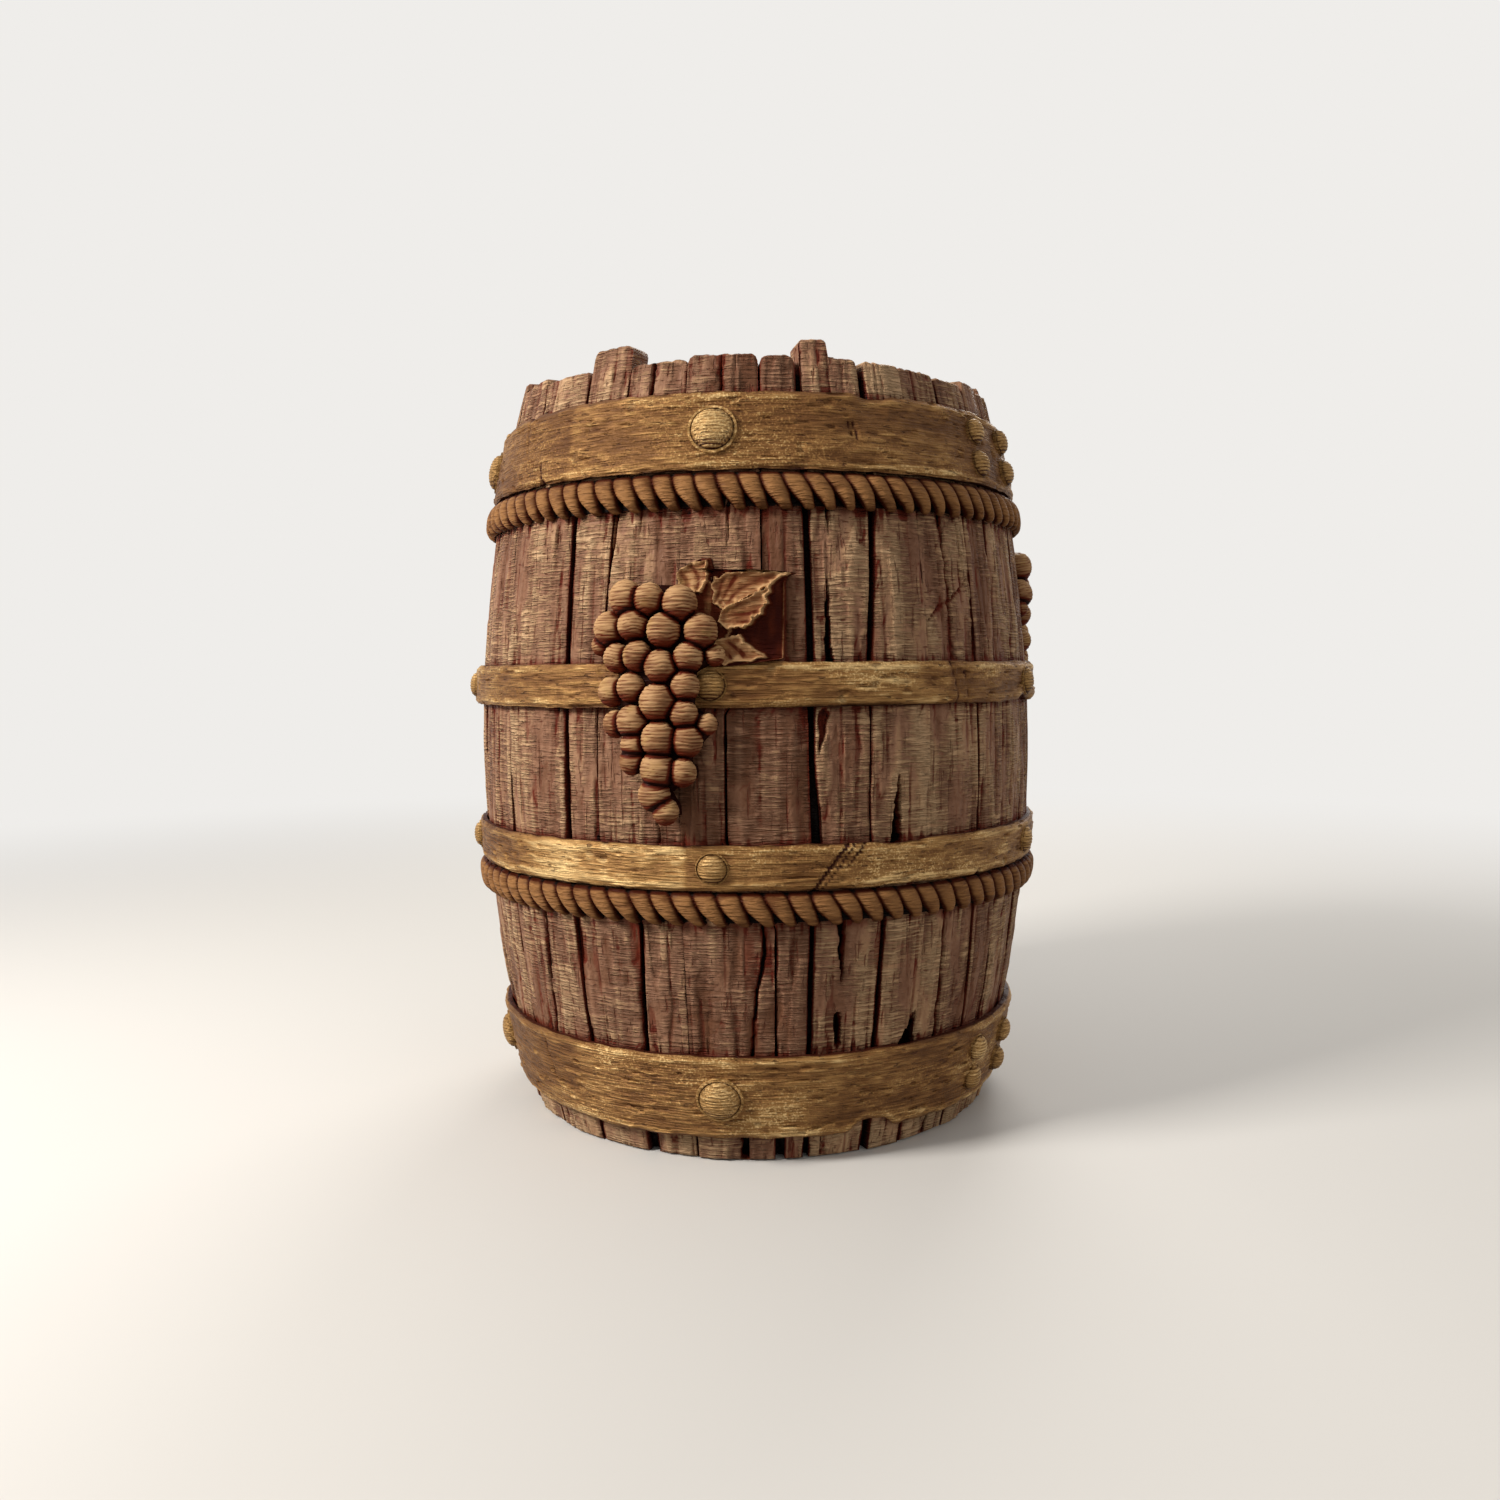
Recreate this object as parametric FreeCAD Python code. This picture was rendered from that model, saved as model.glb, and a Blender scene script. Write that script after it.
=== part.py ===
import FreeCAD, Part
import math
import os

from FreeCAD import Rotation, Vector

# Cask-shaped wine dispenser with a bag and a tap inside a coopered cover.
# The origin is on the cask's axis at the floor. +Z is up and the tap faces -Y.
# An azimuth is measured in degrees from the tap, anticlockwise seen from above.

# Cask
CASK_HEIGHT = 287.0
BELLY_RADIUS = 115.0
BELLY_HEIGHT = 143.0
BOW_RADIUS = 568.0
STAVE_THICKNESS = 11.0
STAVE_CORNER = 2.5

# Each stave in turn from the tap stave: width in degrees, how far its top stands over the
# cask height, how far its face lies under the skin of the cask, and the gap after it.
STAVES = [
    (22.0, 0.0, 0.4, 0.8),
    (12.0, -1.5, 0.7, 1.4),
    (14.0, 0.5, 0.2, 0.8),
    (11.0, -0.5, 0.8, 2.2),
    (13.5, 6.0, 0.4, 0.8),
    (10.5, -1.0, 0.0, 1.2),
    (14.5, 0.0, 0.6, 0.6),
    (12.0, -2.0, 0.3, 2.4),
    (13.0, 0.5, 0.7, 0.8),
    (12.3, 6.5, 0.2, 1.0),
    (14.5, 2.0, 0.5, 0.8),
    (19.7, -0.5, 0.3, 2.5),
    (9.8, 6.5, 0.6, 0.9),
    (14.2, -1.0, 0.9, 0.4),
    (14.3, 0.0, 0.0, 1.3),
    (8.5, -0.5, 0.3, 3.3),
    (12.5, -0.5, 0.6, 2.7),
    (10.5, -1.0, 0.0, 0.6),
    (11.5, -1.5, 0.8, 0.8),
    (10.7, -2.5, 0.3, 0.8),
    (14.0, 0.0, 0.5, 0.6),
    (11.0, -1.0, 0.1, 2.0),
    (13.0, 6.0, 0.6, 0.8),
    (10.0, -0.5, 0.3, 1.0),
    (14.5, -1.5, 0.8, 0.6),
    (11.5, 0.5, 0.2, 2.6),
    (13.0, -1.0, 0.6, 0.8),
    (12.0, 0.0, 0.0, 1.0),
]
# The stave with a raised strip along one side of its top, the strip's share of its width
# and its extra height.
STEPPED_STAVE = 17
STEP_SHARE = 0.5
STEP_RISE = 6.5

# Fits
WOOD_FIT = 0.15
METAL_FIT = 0.1
SHAFT_FIT = 0.06
SOFT_FIT = 0.3

# Base head, a round board held in a groove that runs round the inside of the staves
HEAD_THICKNESS = 8.0
HEAD_HEIGHT = 13.0
GROOVE_DEPTH = 2.8

# Iron hoops: height of the lower edge, and width. The upper two are set from the rim down.
TOP_HOOP_WIDTH = 28.3
TOP_HOOP_DROP = 14.2
UPPER_HOOP_WIDTH = 16.0
UPPER_HOOP_DROP = 107.0
HOOPS = {
    "hoop_bottom": (9.5, 32.5),
    "hoop_lower": (101.5, 16.5),
    "hoop_upper": (CASK_HEIGHT - UPPER_HOOP_DROP - UPPER_HOOP_WIDTH, UPPER_HOOP_WIDTH),
    "hoop_top": (CASK_HEIGHT - TOP_HOOP_DROP - TOP_HOOP_WIDTH, TOP_HOOP_WIDTH),
}
LAPPED_HOOPS = ("hoop_bottom", "hoop_top")
HOOP_THICKNESS = 2.7
LAP_AZIMUTH = 253.8
LAP_SLIT = 1.0

# Rivets
RIVETS_ROUND = 5
FIRST_RIVET = 43.8
RIVET_COVER = 5.0
LARGE_FLANGE_RADIUS = 8.6
LARGE_DOME_RADIUS = 7.1
LARGE_FLANGE_HEIGHT = 0.9
LARGE_DOME_HEIGHT = 3.5
SMALL_FLANGE_RADIUS = 5.8
SMALL_DOME_RADIUS = 4.9
SMALL_FLANGE_HEIGHT = 0.6
SMALL_DOME_HEIGHT = 2.4
LAP_FLANGE_RADIUS = 5.3
LAP_DOME_RADIUS = 4.7
LAP_FLANGE_HEIGHT = 0.6
LAP_DOME_HEIGHT = 2.7
LAP_COLUMN_OFFSET = 13.0
LAP_ROW_OFFSET = 6.0
RIVET_SHANK_RADIUS = 1.6

# Ropes wrapped round the cask: the hoop that each lies under, and its height
ROPES = {"rope_lower": ("hoop_lower", 11.8), "rope_upper": ("hoop_top", 12.6)}
ROPE_GAP = 0.9
ROPE_STAND_OUT = 4.7

# Ornaments, a third of a turn apart. The rear one fills the height between the lower hoop
# and the upper rope, less a clearance at each end, and bends over the upper hoop. The side
# ones sit right under the rope, lean towards the tap and have their leaf lower. The sizes
# below are those of the pattern that all are carved to, from the pattern's middle.
CLUSTER_AZIMUTHS = {"right": 60.0, "rear": 180.0, "left": 300.0}
CLUSTER_HOOP = "hoop_upper"
CLUSTER_FOOT_CLEARANCE = 8.8
CLUSTER_HEAD_CLEARANCE = 16.5
PATTERN_FOOT = 45.2
PATTERN_HEAD = 42.5
SIDE_HEAD_CLEARANCE = 0.8
SIDE_PATTERN_HEAD = 34.4
SIDE_LEAN = 16.0
SIDE_LEAF_DROP = 15.0

# Grapes of one cluster: distance across from the middle line, height over the pattern's
# middle and radius. The middle rows stand out furthest.
GRAPES = [
    (-13.0, 29.5, 6.0), (-4.0, 29.0, 5.2), (7.0, 27.5, 5.8),
    (-20.0, 19.5, 5.7), (-10.0, 20.5, 5.2), (1.5, 18.5, 5.6), (14.0, 18.0, 5.7),
    (-24.0, 14.0, 3.6), (-16.5, 9.5, 4.8), (-8.0, 10.0, 5.0), (0.5, 6.5, 5.4),
    (10.0, 9.5, 5.0), (18.5, 10.0, 3.4), (-18.5, -2.0, 4.9), (-10.5, -0.5, 4.9),
    (-0.5, -5.5, 6.0), (9.0, 0.0, 4.9), (8.5, -9.5, 4.7), (-17.0, -13.0, 4.4),
    (-10.0, -12.0, 5.4), (0.0, -18.0, 6.0), (9.5, -18.5, 5.2), (-9.5, -20.0, 4.4),
    (-10.0, -25.5, 4.5), (-0.5, -28.0, 6.0), (8.0, -29.0, 4.6), (-1.5, -36.5, 5.4),
    (2.0, -42.0, 3.2), (16.0, -13.0, 3.4),
]
GRAPE_STAND_OUT = 8.0
GRAPE_EDGE_DROP = 5.0
GRAPE_HALF_WIDTH = 24.0
BACKING_HALF_WIDTH = 17.0
BACKING_HALF_HEIGHT = 35.0
BACKING_THICKNESS = 5.0
CLUSTER_SPAN = 80.0
LEAF_THICKNESS = 3.2
LEAF_OUTLINE = [
    (3.5, 38.5), (6.7, 40.5), (11.0, 42.5), (15.0, 42.5), (15.3, 39.5), (19.3, 36.5),
    (23.7, 38.5), (31.0, 39.5), (38.3, 38.5), (45.5, 37.5), (36.8, 34.0), (37.5, 30.5),
    (36.5, 27.0), (34.3, 22.5), (28.5, 18.0), (30.8, 12.5), (37.2, 8.8), (30.8, 8.2),
    (21.6, 8.2), (8.0, 12.0), (2.0, 30.0),
]

# Lid that lies in the mouth on a ledge
LID_SINK = 31.0
LID_THICKNESS = 10.0
LID_CLEARANCE = 0.8
BOARD_COUNT = 3
BOARD_GAP = 0.4
LEDGE_HEIGHT = 9.0
LEDGE_BEARING = 9.0
BATTEN_WIDTH = 16.0
BATTEN_THICKNESS = 6.0
BATTEN_SPACING = 76.0
BATTEN_END_CLEARANCE = 3.0

# Knob: radius and height over the lid at each change of its turned outline
KNOB_FOOT_RADIUS = 12.0
KNOB_NECK_RADIUS = 7.5
KNOB_NECK_HEIGHT = 7.2
KNOB_UNDERSIDE_RADIUS = 13.5
KNOB_UNDERSIDE_HEIGHT = 12.5
KNOB_RADIUS = 15.0
KNOB_WIDEST_HEIGHT = 16.8
KNOB_TOP_RADIUS = 9.3
KNOB_TOP_HEIGHT = 22.6
KNOB_HEIGHT = 24.0
TENON_RADIUS = 5.0

# Wine bag that stands on the base head and leans on the staves where its side begins
BAG_CLEARANCE = 0.7
BAG_SIDE_HEIGHT = 26.0
BAG_FOOT_INSET = 19.0
BAG_HEADROOM = 35.7
BAG_SHOULDER_RADIUS = 60.0
BAG_SHOULDER_DROP = 60.0
BAG_SAG = 6.0

# Tap: heights are over the floor or the tap's axis, and reaches are measured out
# from the back of the tap's collar
TAP_HEIGHT = 64.0
GLAND_FLANGE_RADIUS = 20.0
GLAND_FLANGE_THICKNESS = 2.0
GLAND_RADIUS = 12.1
GLAND_WALL = 2.1
NECK_RING_WALL = 1.9
NECK_FLANGE_RADIUS = 18.5
NECK_FLANGE_THICKNESS = 3.0
NECK_SEAT_DEPTH = 0.4
SPIGOT_LENGTH = 14.0
BODY_RADIUS = 11.5
BODY_BORE_RADIUS = 7.5
BODY_COLLAR_RADIUS = 15.0
BODY_COLLAR_THICKNESS = 3.0
BODY_LENGTH = 32.0
BODY_FRONT_WALL = 6.0
SEAT_DEPTH = 6.0
SEAT_THICKNESS = 3.0
SEAT_ORIFICE_RADIUS = 4.5
SPOUT_REACH = 15.0
SPOUT_RADIUS = 8.6
SPOUT_BORE_RADIUS = 6.2
SPOUT_DROP = 34.0
PLUG_RADIUS = 6.0
PLUG_THICKNESS = 3.0
SEAL_THICKNESS = 1.6
STEM_RADIUS = 2.2
STEM_HEAD_RADIUS = 5.0
STEM_HEAD_THICKNESS = 2.5
STEM_TRAVEL = 3.1
STEM_STOP_ROOM = 3.4
SPRING_WIRE_RADIUS = 0.45
SPRING_COIL_RADIUS = 3.6
SPRING_TURNS = 4
SPRING_STEPS = 4
SPRING_RECESS_RADIUS = 4.9
SPRING_RECESS_DEPTH = 3.5
PIN_REACH = 24.0
PIN_OVER_AXIS = 17.0
PIN_RADIUS = 1.8
PIN_LENGTH = 20.0
LUG_WIDTH = 8.0
LUG_RADIUS = 4.6
LEVER_WIDTH = 19.0
LEVER_EAR_RADIUS = 4.6
LEVER_EAR_CLEARANCE = 0.4
LEVER_LUG_CLEARANCE = 1.0
LEVER_THICKNESS = 3.6
LEVER_PADDLE_DROP = 44.0
LEVER_FILLET = 4.0
PAD_RADIUS = 2.6
PAD_HEIGHT = 2.0
PAD_WIDTH = 9.0

DEGREES = 180.0 / math.pi
UP = Vector(0, 0, 1)
ORIGIN = Vector(0, 0, 0)


def skin_radius(height, offset=0.0):
    """Radius of the bowed outer surface at a height, moved outwards by an offset."""
    bow = BOW_RADIUS + offset
    return BELLY_RADIUS - BOW_RADIUS + math.sqrt(bow ** 2 - (height - BELLY_HEIGHT) ** 2)


def bore_radius(height):
    """Radius of the inside of the staves at a height."""
    return skin_radius(height, -STAVE_THICKNESS)


def least_out(radius, offset):
    """Least distance out of an offset of the skin over a circle about the tap's axis."""
    outs = []
    for angle in range(0, 360, 5):
        across = radius * math.cos(math.radians(angle))
        reach = skin_radius(TAP_HEIGHT + radius * math.sin(math.radians(angle)), offset)
        outs.append(math.sqrt(reach ** 2 - across ** 2))
    return min(outs)


# Offsets of the hoops' two faces from the skin, how deep a rivet reaches, and how far
# beyond a stave's sides its hole can still cut it, in degrees
HOOP_INNER = METAL_FIT
HOOP_OUTER = METAL_FIT + HOOP_THICKNESS
RIVET_DEPTH = STAVE_THICKNESS - RIVET_COVER
HOLE_REACH = 2 * RIVET_SHANK_RADIUS / BELLY_RADIUS * DEGREES

# Lid and ledge, sized by the mouth of the tallest staves
LID_SEAT_HEIGHT = CASK_HEIGHT - LID_SINK
RIM_HEIGHT = CASK_HEIGHT + max(STEP_RISE, *[rise for _, rise, _, _ in STAVES])
LID_RADIUS = bore_radius(RIM_HEIGHT) - LID_CLEARANCE
LEDGE_INNER_RADIUS = LID_RADIUS - LEDGE_BEARING

# Tap, each piece seated on the one behind it
TAP_STAVE_SINK = STAVES[0][2]
NECK_SEAT_OUT = least_out(NECK_FLANGE_RADIUS, -TAP_STAVE_SINK) - NECK_SEAT_DEPTH
GLAND_FLANGE_OUT = (
    least_out(GLAND_FLANGE_RADIUS, -STAVE_THICKNESS) - SOFT_FIT - GLAND_FLANGE_THICKNESS
)
NECK_RING_INNER = GLAND_RADIUS + METAL_FIT
NECK_RING_RADIUS = NECK_RING_INNER + NECK_RING_WALL
GLAND_BORE = GLAND_RADIUS - GLAND_WALL
NECK_FACE_OUT = NECK_SEAT_OUT + WOOD_FIT + NECK_FLANGE_THICKNESS
BODY_BACK_OUT = NECK_FACE_OUT + SOFT_FIT
BODY_FRONT_OUT = BODY_BACK_OUT + BODY_LENGTH
SPOUT_OUT = BODY_BACK_OUT + SPOUT_REACH
PIN_OUT = BODY_BACK_OUT + PIN_REACH
SEAT_OUT = BODY_BACK_OUT - SEAT_DEPTH
PLUG_OUT = SEAT_OUT - SEAL_THICKNESS - PLUG_THICKNESS
HEAD_OUT = BODY_FRONT_OUT + STEM_TRAVEL + STEM_STOP_ROOM + STEM_HEAD_THICKNESS


def outwards(azimuth):
    """Level unit vector that points away from the axis at an azimuth."""
    angle = math.radians(azimuth)
    return Vector(math.sin(angle), -math.cos(angle), 0)


def turned(shape, azimuth):
    """Copy of a shape drawn towards +X, turned about the axis to an azimuth."""
    copy = shape.copy()
    copy.rotate(ORIGIN, UP, azimuth - 90.0)
    return copy


def at(radius, height):
    """Point of a section drawn in the plane of +X and +Z."""
    return Vector(radius, 0, height)


def bow_edge(low, high, offset):
    """Arc of the bowed surface between two heights."""
    middle = (low + high) / 2
    points = [at(skin_radius(z, offset), z) for z in (low, middle, high)]
    return Part.Arc(*points).toShape()


def line(start, end):
    return Part.makeLine(start, end)


def bowed_section(low, high, inner, outer):
    """Section between two offsets of the bowed surface, cut level at both ends."""
    outside = bow_edge(low, high, outer)
    inside = bow_edge(low, high, inner)
    foot = line(at(skin_radius(low, inner), low), at(skin_radius(low, outer), low))
    top = line(at(skin_radius(high, inner), high), at(skin_radius(high, outer), high))
    return Part.Face(Part.Wire(Part.__sortEdges__([outside, inside, foot, top])))


def swept(face, start, angle):
    """Solid of revolution of a section, from a start azimuth through an angle."""
    return turned(face.revolve(ORIGIN, UP, angle), start)


def profile_face(points):
    """Face of a closed outline whose entries are points, or an arc's middle and end."""
    edges = []
    last = points[0]
    for entry in points[1:]:
        if isinstance(entry, tuple):
            edges.append(Part.Arc(last, entry[0], entry[1]).toShape())
            last = entry[1]
        else:
            edges.append(line(last, entry))
            last = entry
    edges.append(line(last, points[0]))
    return Part.Face(Part.Wire(edges))


def tap_point(out, across=0.0, over_axis=0.0):
    """Point in the tap's own measures: out from the cask's axis, across and above."""
    return Vector(across, -out, TAP_HEIGHT + over_axis)


def round_bar(radius, out_start, out_end):
    """Cylinder on the tap's axis between two distances out."""
    return Part.makeCylinder(radius, out_end - out_start, tap_point(out_start), Vector(0, -1, 0))


def surface_frame(azimuth, height, offset):
    """Point on an offset of the bowed surface and the surface's normal there."""
    tilt = math.asin((height - BELLY_HEIGHT) / (BOW_RADIUS + offset))
    normal = outwards(azimuth) * math.cos(tilt) + UP * math.sin(tilt)
    point = outwards(azimuth) * skin_radius(height, offset) + UP * height
    return point, normal


def rivet(azimuth, height, flange_radius, dome_radius, flange_height, dome_height):
    """Domed rivet with a thin flange, its shank driven through the hoop into the stave."""
    cap_radius = (dome_radius ** 2 + dome_height ** 2) / (2 * dome_height)
    half = math.asin(dome_radius / cap_radius) / 2
    cap_centre = flange_height + dome_height - cap_radius
    shoulder = at(cap_radius * math.sin(half), cap_centre + cap_radius * math.cos(half))
    shank_end = -(HOOP_THICKNESS + RIVET_DEPTH)
    face = profile_face([
        at(0, shank_end),
        at(RIVET_SHANK_RADIUS, shank_end),
        at(RIVET_SHANK_RADIUS, 0),
        at(flange_radius, 0),
        at(flange_radius, flange_height),
        at(dome_radius, flange_height),
        (shoulder, at(0, flange_height + dome_height)),
    ])
    solid = face.revolve(ORIGIN, UP, 360)
    return placed_on_hoop(solid, azimuth, height)


def placed_on_hoop(shape, azimuth, height):
    """Shape drawn about +Z, moved to stand on a hoop's outer face."""
    point, normal = surface_frame(azimuth, height, HOOP_OUTER + METAL_FIT)
    shape.Placement = FreeCAD.Placement(point, Rotation(UP, normal))
    return shape


def rivet_hole(azimuth, height):
    """Cylinder that clears a rivet's shank through the hoop and in the stave."""
    depth = HOOP_THICKNESS + RIVET_DEPTH + METAL_FIT
    hole = Part.makeCylinder(
        RIVET_SHANK_RADIUS + METAL_FIT, depth + HOOP_THICKNESS, Vector(0, 0, -depth), UP
    )
    return placed_on_hoop(hole, azimuth, height)


def hoop_middle(name):
    """Height of the middle of a hoop."""
    low, width = HOOPS[name]
    return low + width / 2


def turn_between(azimuth, other):
    """Signed turn in degrees from one azimuth to another, at most half a turn."""
    return (azimuth - other + 180.0) % 360.0 - 180.0


def rivet_places():
    """Azimuth and height of every rivet, by kind."""
    places = {"rivets_large": [], "rivets_small": [], "rivets_lap": []}
    for name in HOOPS:
        lapped = name in LAPPED_HOOPS
        for turn in range(RIVETS_ROUND):
            azimuth = FIRST_RIVET + turn * 360.0 / RIVETS_ROUND
            if lapped and abs(turn_between(azimuth, LAP_AZIMUTH)) < 180.0 / RIVETS_ROUND:
                continue
            kind = "rivets_large" if lapped else "rivets_small"
            places[kind].append((azimuth, hoop_middle(name)))
        if lapped:
            spread = LAP_COLUMN_OFFSET / skin_radius(hoop_middle(name)) * DEGREES
            for side in (-1, 1):
                for row in (-1, 1):
                    places["rivets_lap"].append((
                        LAP_AZIMUTH + side * spread,
                        hoop_middle(name) + row * LAP_ROW_OFFSET,
                    ))
    return places


RIVET_SIZES = {
    "rivets_large": (
        LARGE_FLANGE_RADIUS, LARGE_DOME_RADIUS, LARGE_FLANGE_HEIGHT, LARGE_DOME_HEIGHT,
    ),
    "rivets_small": (
        SMALL_FLANGE_RADIUS, SMALL_DOME_RADIUS, SMALL_FLANGE_HEIGHT, SMALL_DOME_HEIGHT,
    ),
    "rivets_lap": (
        LAP_FLANGE_RADIUS, LAP_DOME_RADIUS, LAP_FLANGE_HEIGHT, LAP_DOME_HEIGHT,
    ),
}


def head_groove():
    """Disc that cuts the groove for the base head into the staves."""
    middle = HEAD_HEIGHT + HEAD_THICKNESS / 2
    radius = bore_radius(middle) + GROOVE_DEPTH
    return Part.makeCylinder(
        radius, HEAD_THICKNESS + 2 * WOOD_FIT, Vector(0, 0, HEAD_HEIGHT - WOOD_FIT)
    )


def stave(index, start, width, rise, sink, gap):
    """One bowed stave with its top corners rounded."""
    angle = width - gap / BELLY_RADIUS * DEGREES
    top = CASK_HEIGHT + rise
    stepped = index == STEPPED_STAVE
    if stepped:
        top += STEP_RISE
    section = bowed_section(0, top, -STAVE_THICKNESS, -sink)
    solid = swept(section, start, angle)
    if stepped:
        low_top = CASK_HEIGHT + rise
        side = bowed_section(low_top, top + STEP_RISE, -2 * STAVE_THICKNESS, STAVE_THICKNESS)
        solid = solid.cut(swept(side, start + angle * STEP_SHARE, angle))
    corners = []
    for edge in solid.Edges:
        level = abs(edge.BoundBox.ZMax - top) < 0.001 and edge.BoundBox.ZLength < 0.001
        if level and edge.Curve.TypeId == "Part::GeomLine":
            corners.append(edge)
    return solid.makeFillet(STAVE_CORNER, corners)


def staves():
    """Every stave, cut for the base head, the tap and the rivets that reach it."""
    groove = head_groove()
    tap_hole = round_bar(NECK_RING_RADIUS + WOOD_FIT, 0, BELLY_RADIUS + STAVE_THICKNESS)
    seat = round_bar(NECK_FLANGE_RADIUS + WOOD_FIT, NECK_SEAT_OUT, BELLY_RADIUS + STAVE_THICKNESS)
    holes = [
        (azimuth, rivet_hole(azimuth, height))
        for places in rivet_places().values()
        for azimuth, height in places
    ]
    full_turn = sum(width for width, _, _, _ in STAVES)
    share = 360.0 / full_turn
    start = -STAVES[0][0] * share / 2
    shapes = {}
    for number, (width, rise, sink, gap) in enumerate(STAVES, 1):
        width *= share
        solid = stave(number, start, width, rise, sink, gap).cut(groove)
        if number == 1:
            solid = solid.cut(tap_hole).cut(seat)
        for azimuth, hole in holes:
            if abs(turn_between(azimuth, start + width / 2)) < width / 2 + HOLE_REACH:
                solid = solid.cut(hole)
        shapes["stave_%02d" % number] = solid
        start += width
    return shapes


def hoops():
    """Flat iron hoops. The two wide ones are open straps whose ends meet at the lap."""
    shapes = {}
    places = [place for kind in rivet_places().values() for place in kind]
    for name, (low, width) in HOOPS.items():
        section = bowed_section(low, low + width, HOOP_INNER, HOOP_OUTER)
        if name in LAPPED_HOOPS:
            slit = LAP_SLIT / BELLY_RADIUS * DEGREES
            solid = swept(section, LAP_AZIMUTH + slit / 2, 360 - slit)
        else:
            solid = swept(section, LAP_AZIMUTH, 360)
        for azimuth, height in places:
            if low < height < low + width:
                solid = solid.cut(rivet_hole(azimuth, height))
        shapes[name] = solid
    return shapes


def rivets():
    """The three kinds of rivet, each kind one group of separate solids."""
    shapes = {}
    for kind, places in rivet_places().items():
        sizes = RIVET_SIZES[kind]
        shapes[kind] = Part.Compound([rivet(a, z, *sizes) for a, z in places])
    return shapes


def rope_foot(name):
    """Height of the lower edge of a rope."""
    hoop, height = ROPES[name]
    return HOOPS[hoop][0] - ROPE_GAP - height


def ropes():
    """Ropes flattened against the cask, each a closed ring with a rounded face."""
    shapes = {}
    for name, (_, height) in ROPES.items():
        low = rope_foot(name)
        middle = low + height / 2
        high = low + height
        back = bow_edge(low, high, METAL_FIT)
        face = Part.Arc(
            at(skin_radius(low, METAL_FIT), low),
            at(skin_radius(middle, ROPE_STAND_OUT), middle),
            at(skin_radius(high, METAL_FIT), high),
        ).toShape()
        section = Part.Face(Part.Wire(Part.__sortEdges__([back, face])))
        shapes[name] = swept(section, 0, 360)
    return shapes


# Where the ornaments are and their size against the pattern
CLUSTER_LOW = sum(HOOPS["hoop_lower"]) + CLUSTER_FOOT_CLEARANCE
CLUSTER_HIGH = rope_foot("rope_upper") - CLUSTER_HEAD_CLEARANCE
CLUSTER_SCALE = (CLUSTER_HIGH - CLUSTER_LOW) / (PATTERN_FOOT + PATTERN_HEAD)
REAR_HEIGHT = CLUSTER_LOW + PATTERN_FOOT * CLUSTER_SCALE
SIDE_HIGH = rope_foot("rope_upper") - SIDE_HEAD_CLEARANCE
SIDE_HEIGHT = SIDE_HIGH - SIDE_PATTERN_HEAD * CLUSTER_SCALE


def cluster_band(low, high, inner, outer):
    """Piece of a bowed ring, between two heights and two offsets, behind a cluster."""
    section = bowed_section(low, high, inner, outer)
    return swept(section, 90.0 - CLUSTER_SPAN / 2, CLUSTER_SPAN)


def cask_envelope():
    """What an ornament lies on: the skin and its hoop, with a fit, as one solid."""
    skin = cluster_band(CLUSTER_LOW, SIDE_HIGH, -STAVE_THICKNESS, SOFT_FIT)
    hoop_low, hoop_width = HOOPS[CLUSTER_HOOP]
    over_hoop = cluster_band(
        hoop_low - SOFT_FIT, hoop_low + hoop_width + SOFT_FIT,
        -STAVE_THICKNESS, HOOP_OUTER + SOFT_FIT,
    )
    return skin.fuse(over_hoop)


def leaned(across, over, lean):
    """Distances across and over an ornament's middle of a point of its leaning pattern."""
    turn = math.radians(lean)
    side = across * math.cos(turn) - over * math.sin(turn)
    rise = across * math.sin(turn) + over * math.cos(turn)
    return side * CLUSTER_SCALE, rise * CLUSTER_SCALE


def on_plane(across, over, middle, lean):
    """Point of a leaning pattern on the plane that outlines are drawn on."""
    side, rise = leaned(across, over, lean)
    return Vector(BELLY_RADIUS / 2, side, middle + rise)


def ornament_blank(face, thickness, envelope):
    """Plate bent to the cask: the part of an outline's prism within a thickness of it."""
    shell = cluster_band(CLUSTER_LOW, SIDE_HIGH, 0, thickness)
    prism = face.extrude(Vector(BELLY_RADIUS, 0, 0))
    return prism.common(shell).cut(envelope)


def grape_cluster(envelope, middle, lean):
    """Bunch of grapes towards +X: round grapes on a backing that fits the cask."""
    ellipse = Part.Ellipse(
        on_plane(0, BACKING_HALF_HEIGHT, middle, lean),
        on_plane(BACKING_HALF_WIDTH, 0, middle, lean),
        on_plane(0, 0, middle, lean),
    )
    backing = ornament_blank(
        Part.Face(Part.Wire([ellipse.toShape()])), BACKING_THICKNESS, envelope
    )
    balls = []
    for across, over, radius in GRAPES:
        side, rise = leaned(across, over, lean)
        drop = GRAPE_EDGE_DROP * (across / GRAPE_HALF_WIDTH) ** 2
        offset = (GRAPE_STAND_OUT - drop) * CLUSTER_SCALE
        azimuth = 90.0 + side / (BELLY_RADIUS + offset) * DEGREES
        point, normal = surface_frame(azimuth, middle + rise, offset)
        balls.append(Part.makeSphere(radius * CLUSTER_SCALE, point, normal))
    return backing.multiFuse(balls).cut(envelope)


def vine_leaf(envelope, grapes, middle, lean, drop):
    """Vine leaf beside the grapes, tucked behind them."""
    plane = [on_plane(across, over - drop, middle, lean) for across, over in LEAF_OUTLINE]
    outline = Part.Face(Part.makePolygon(plane + plane[:1]))
    leaf = ornament_blank(outline, LEAF_THICKNESS, envelope)
    return leaf.cut(grapes)


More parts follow.
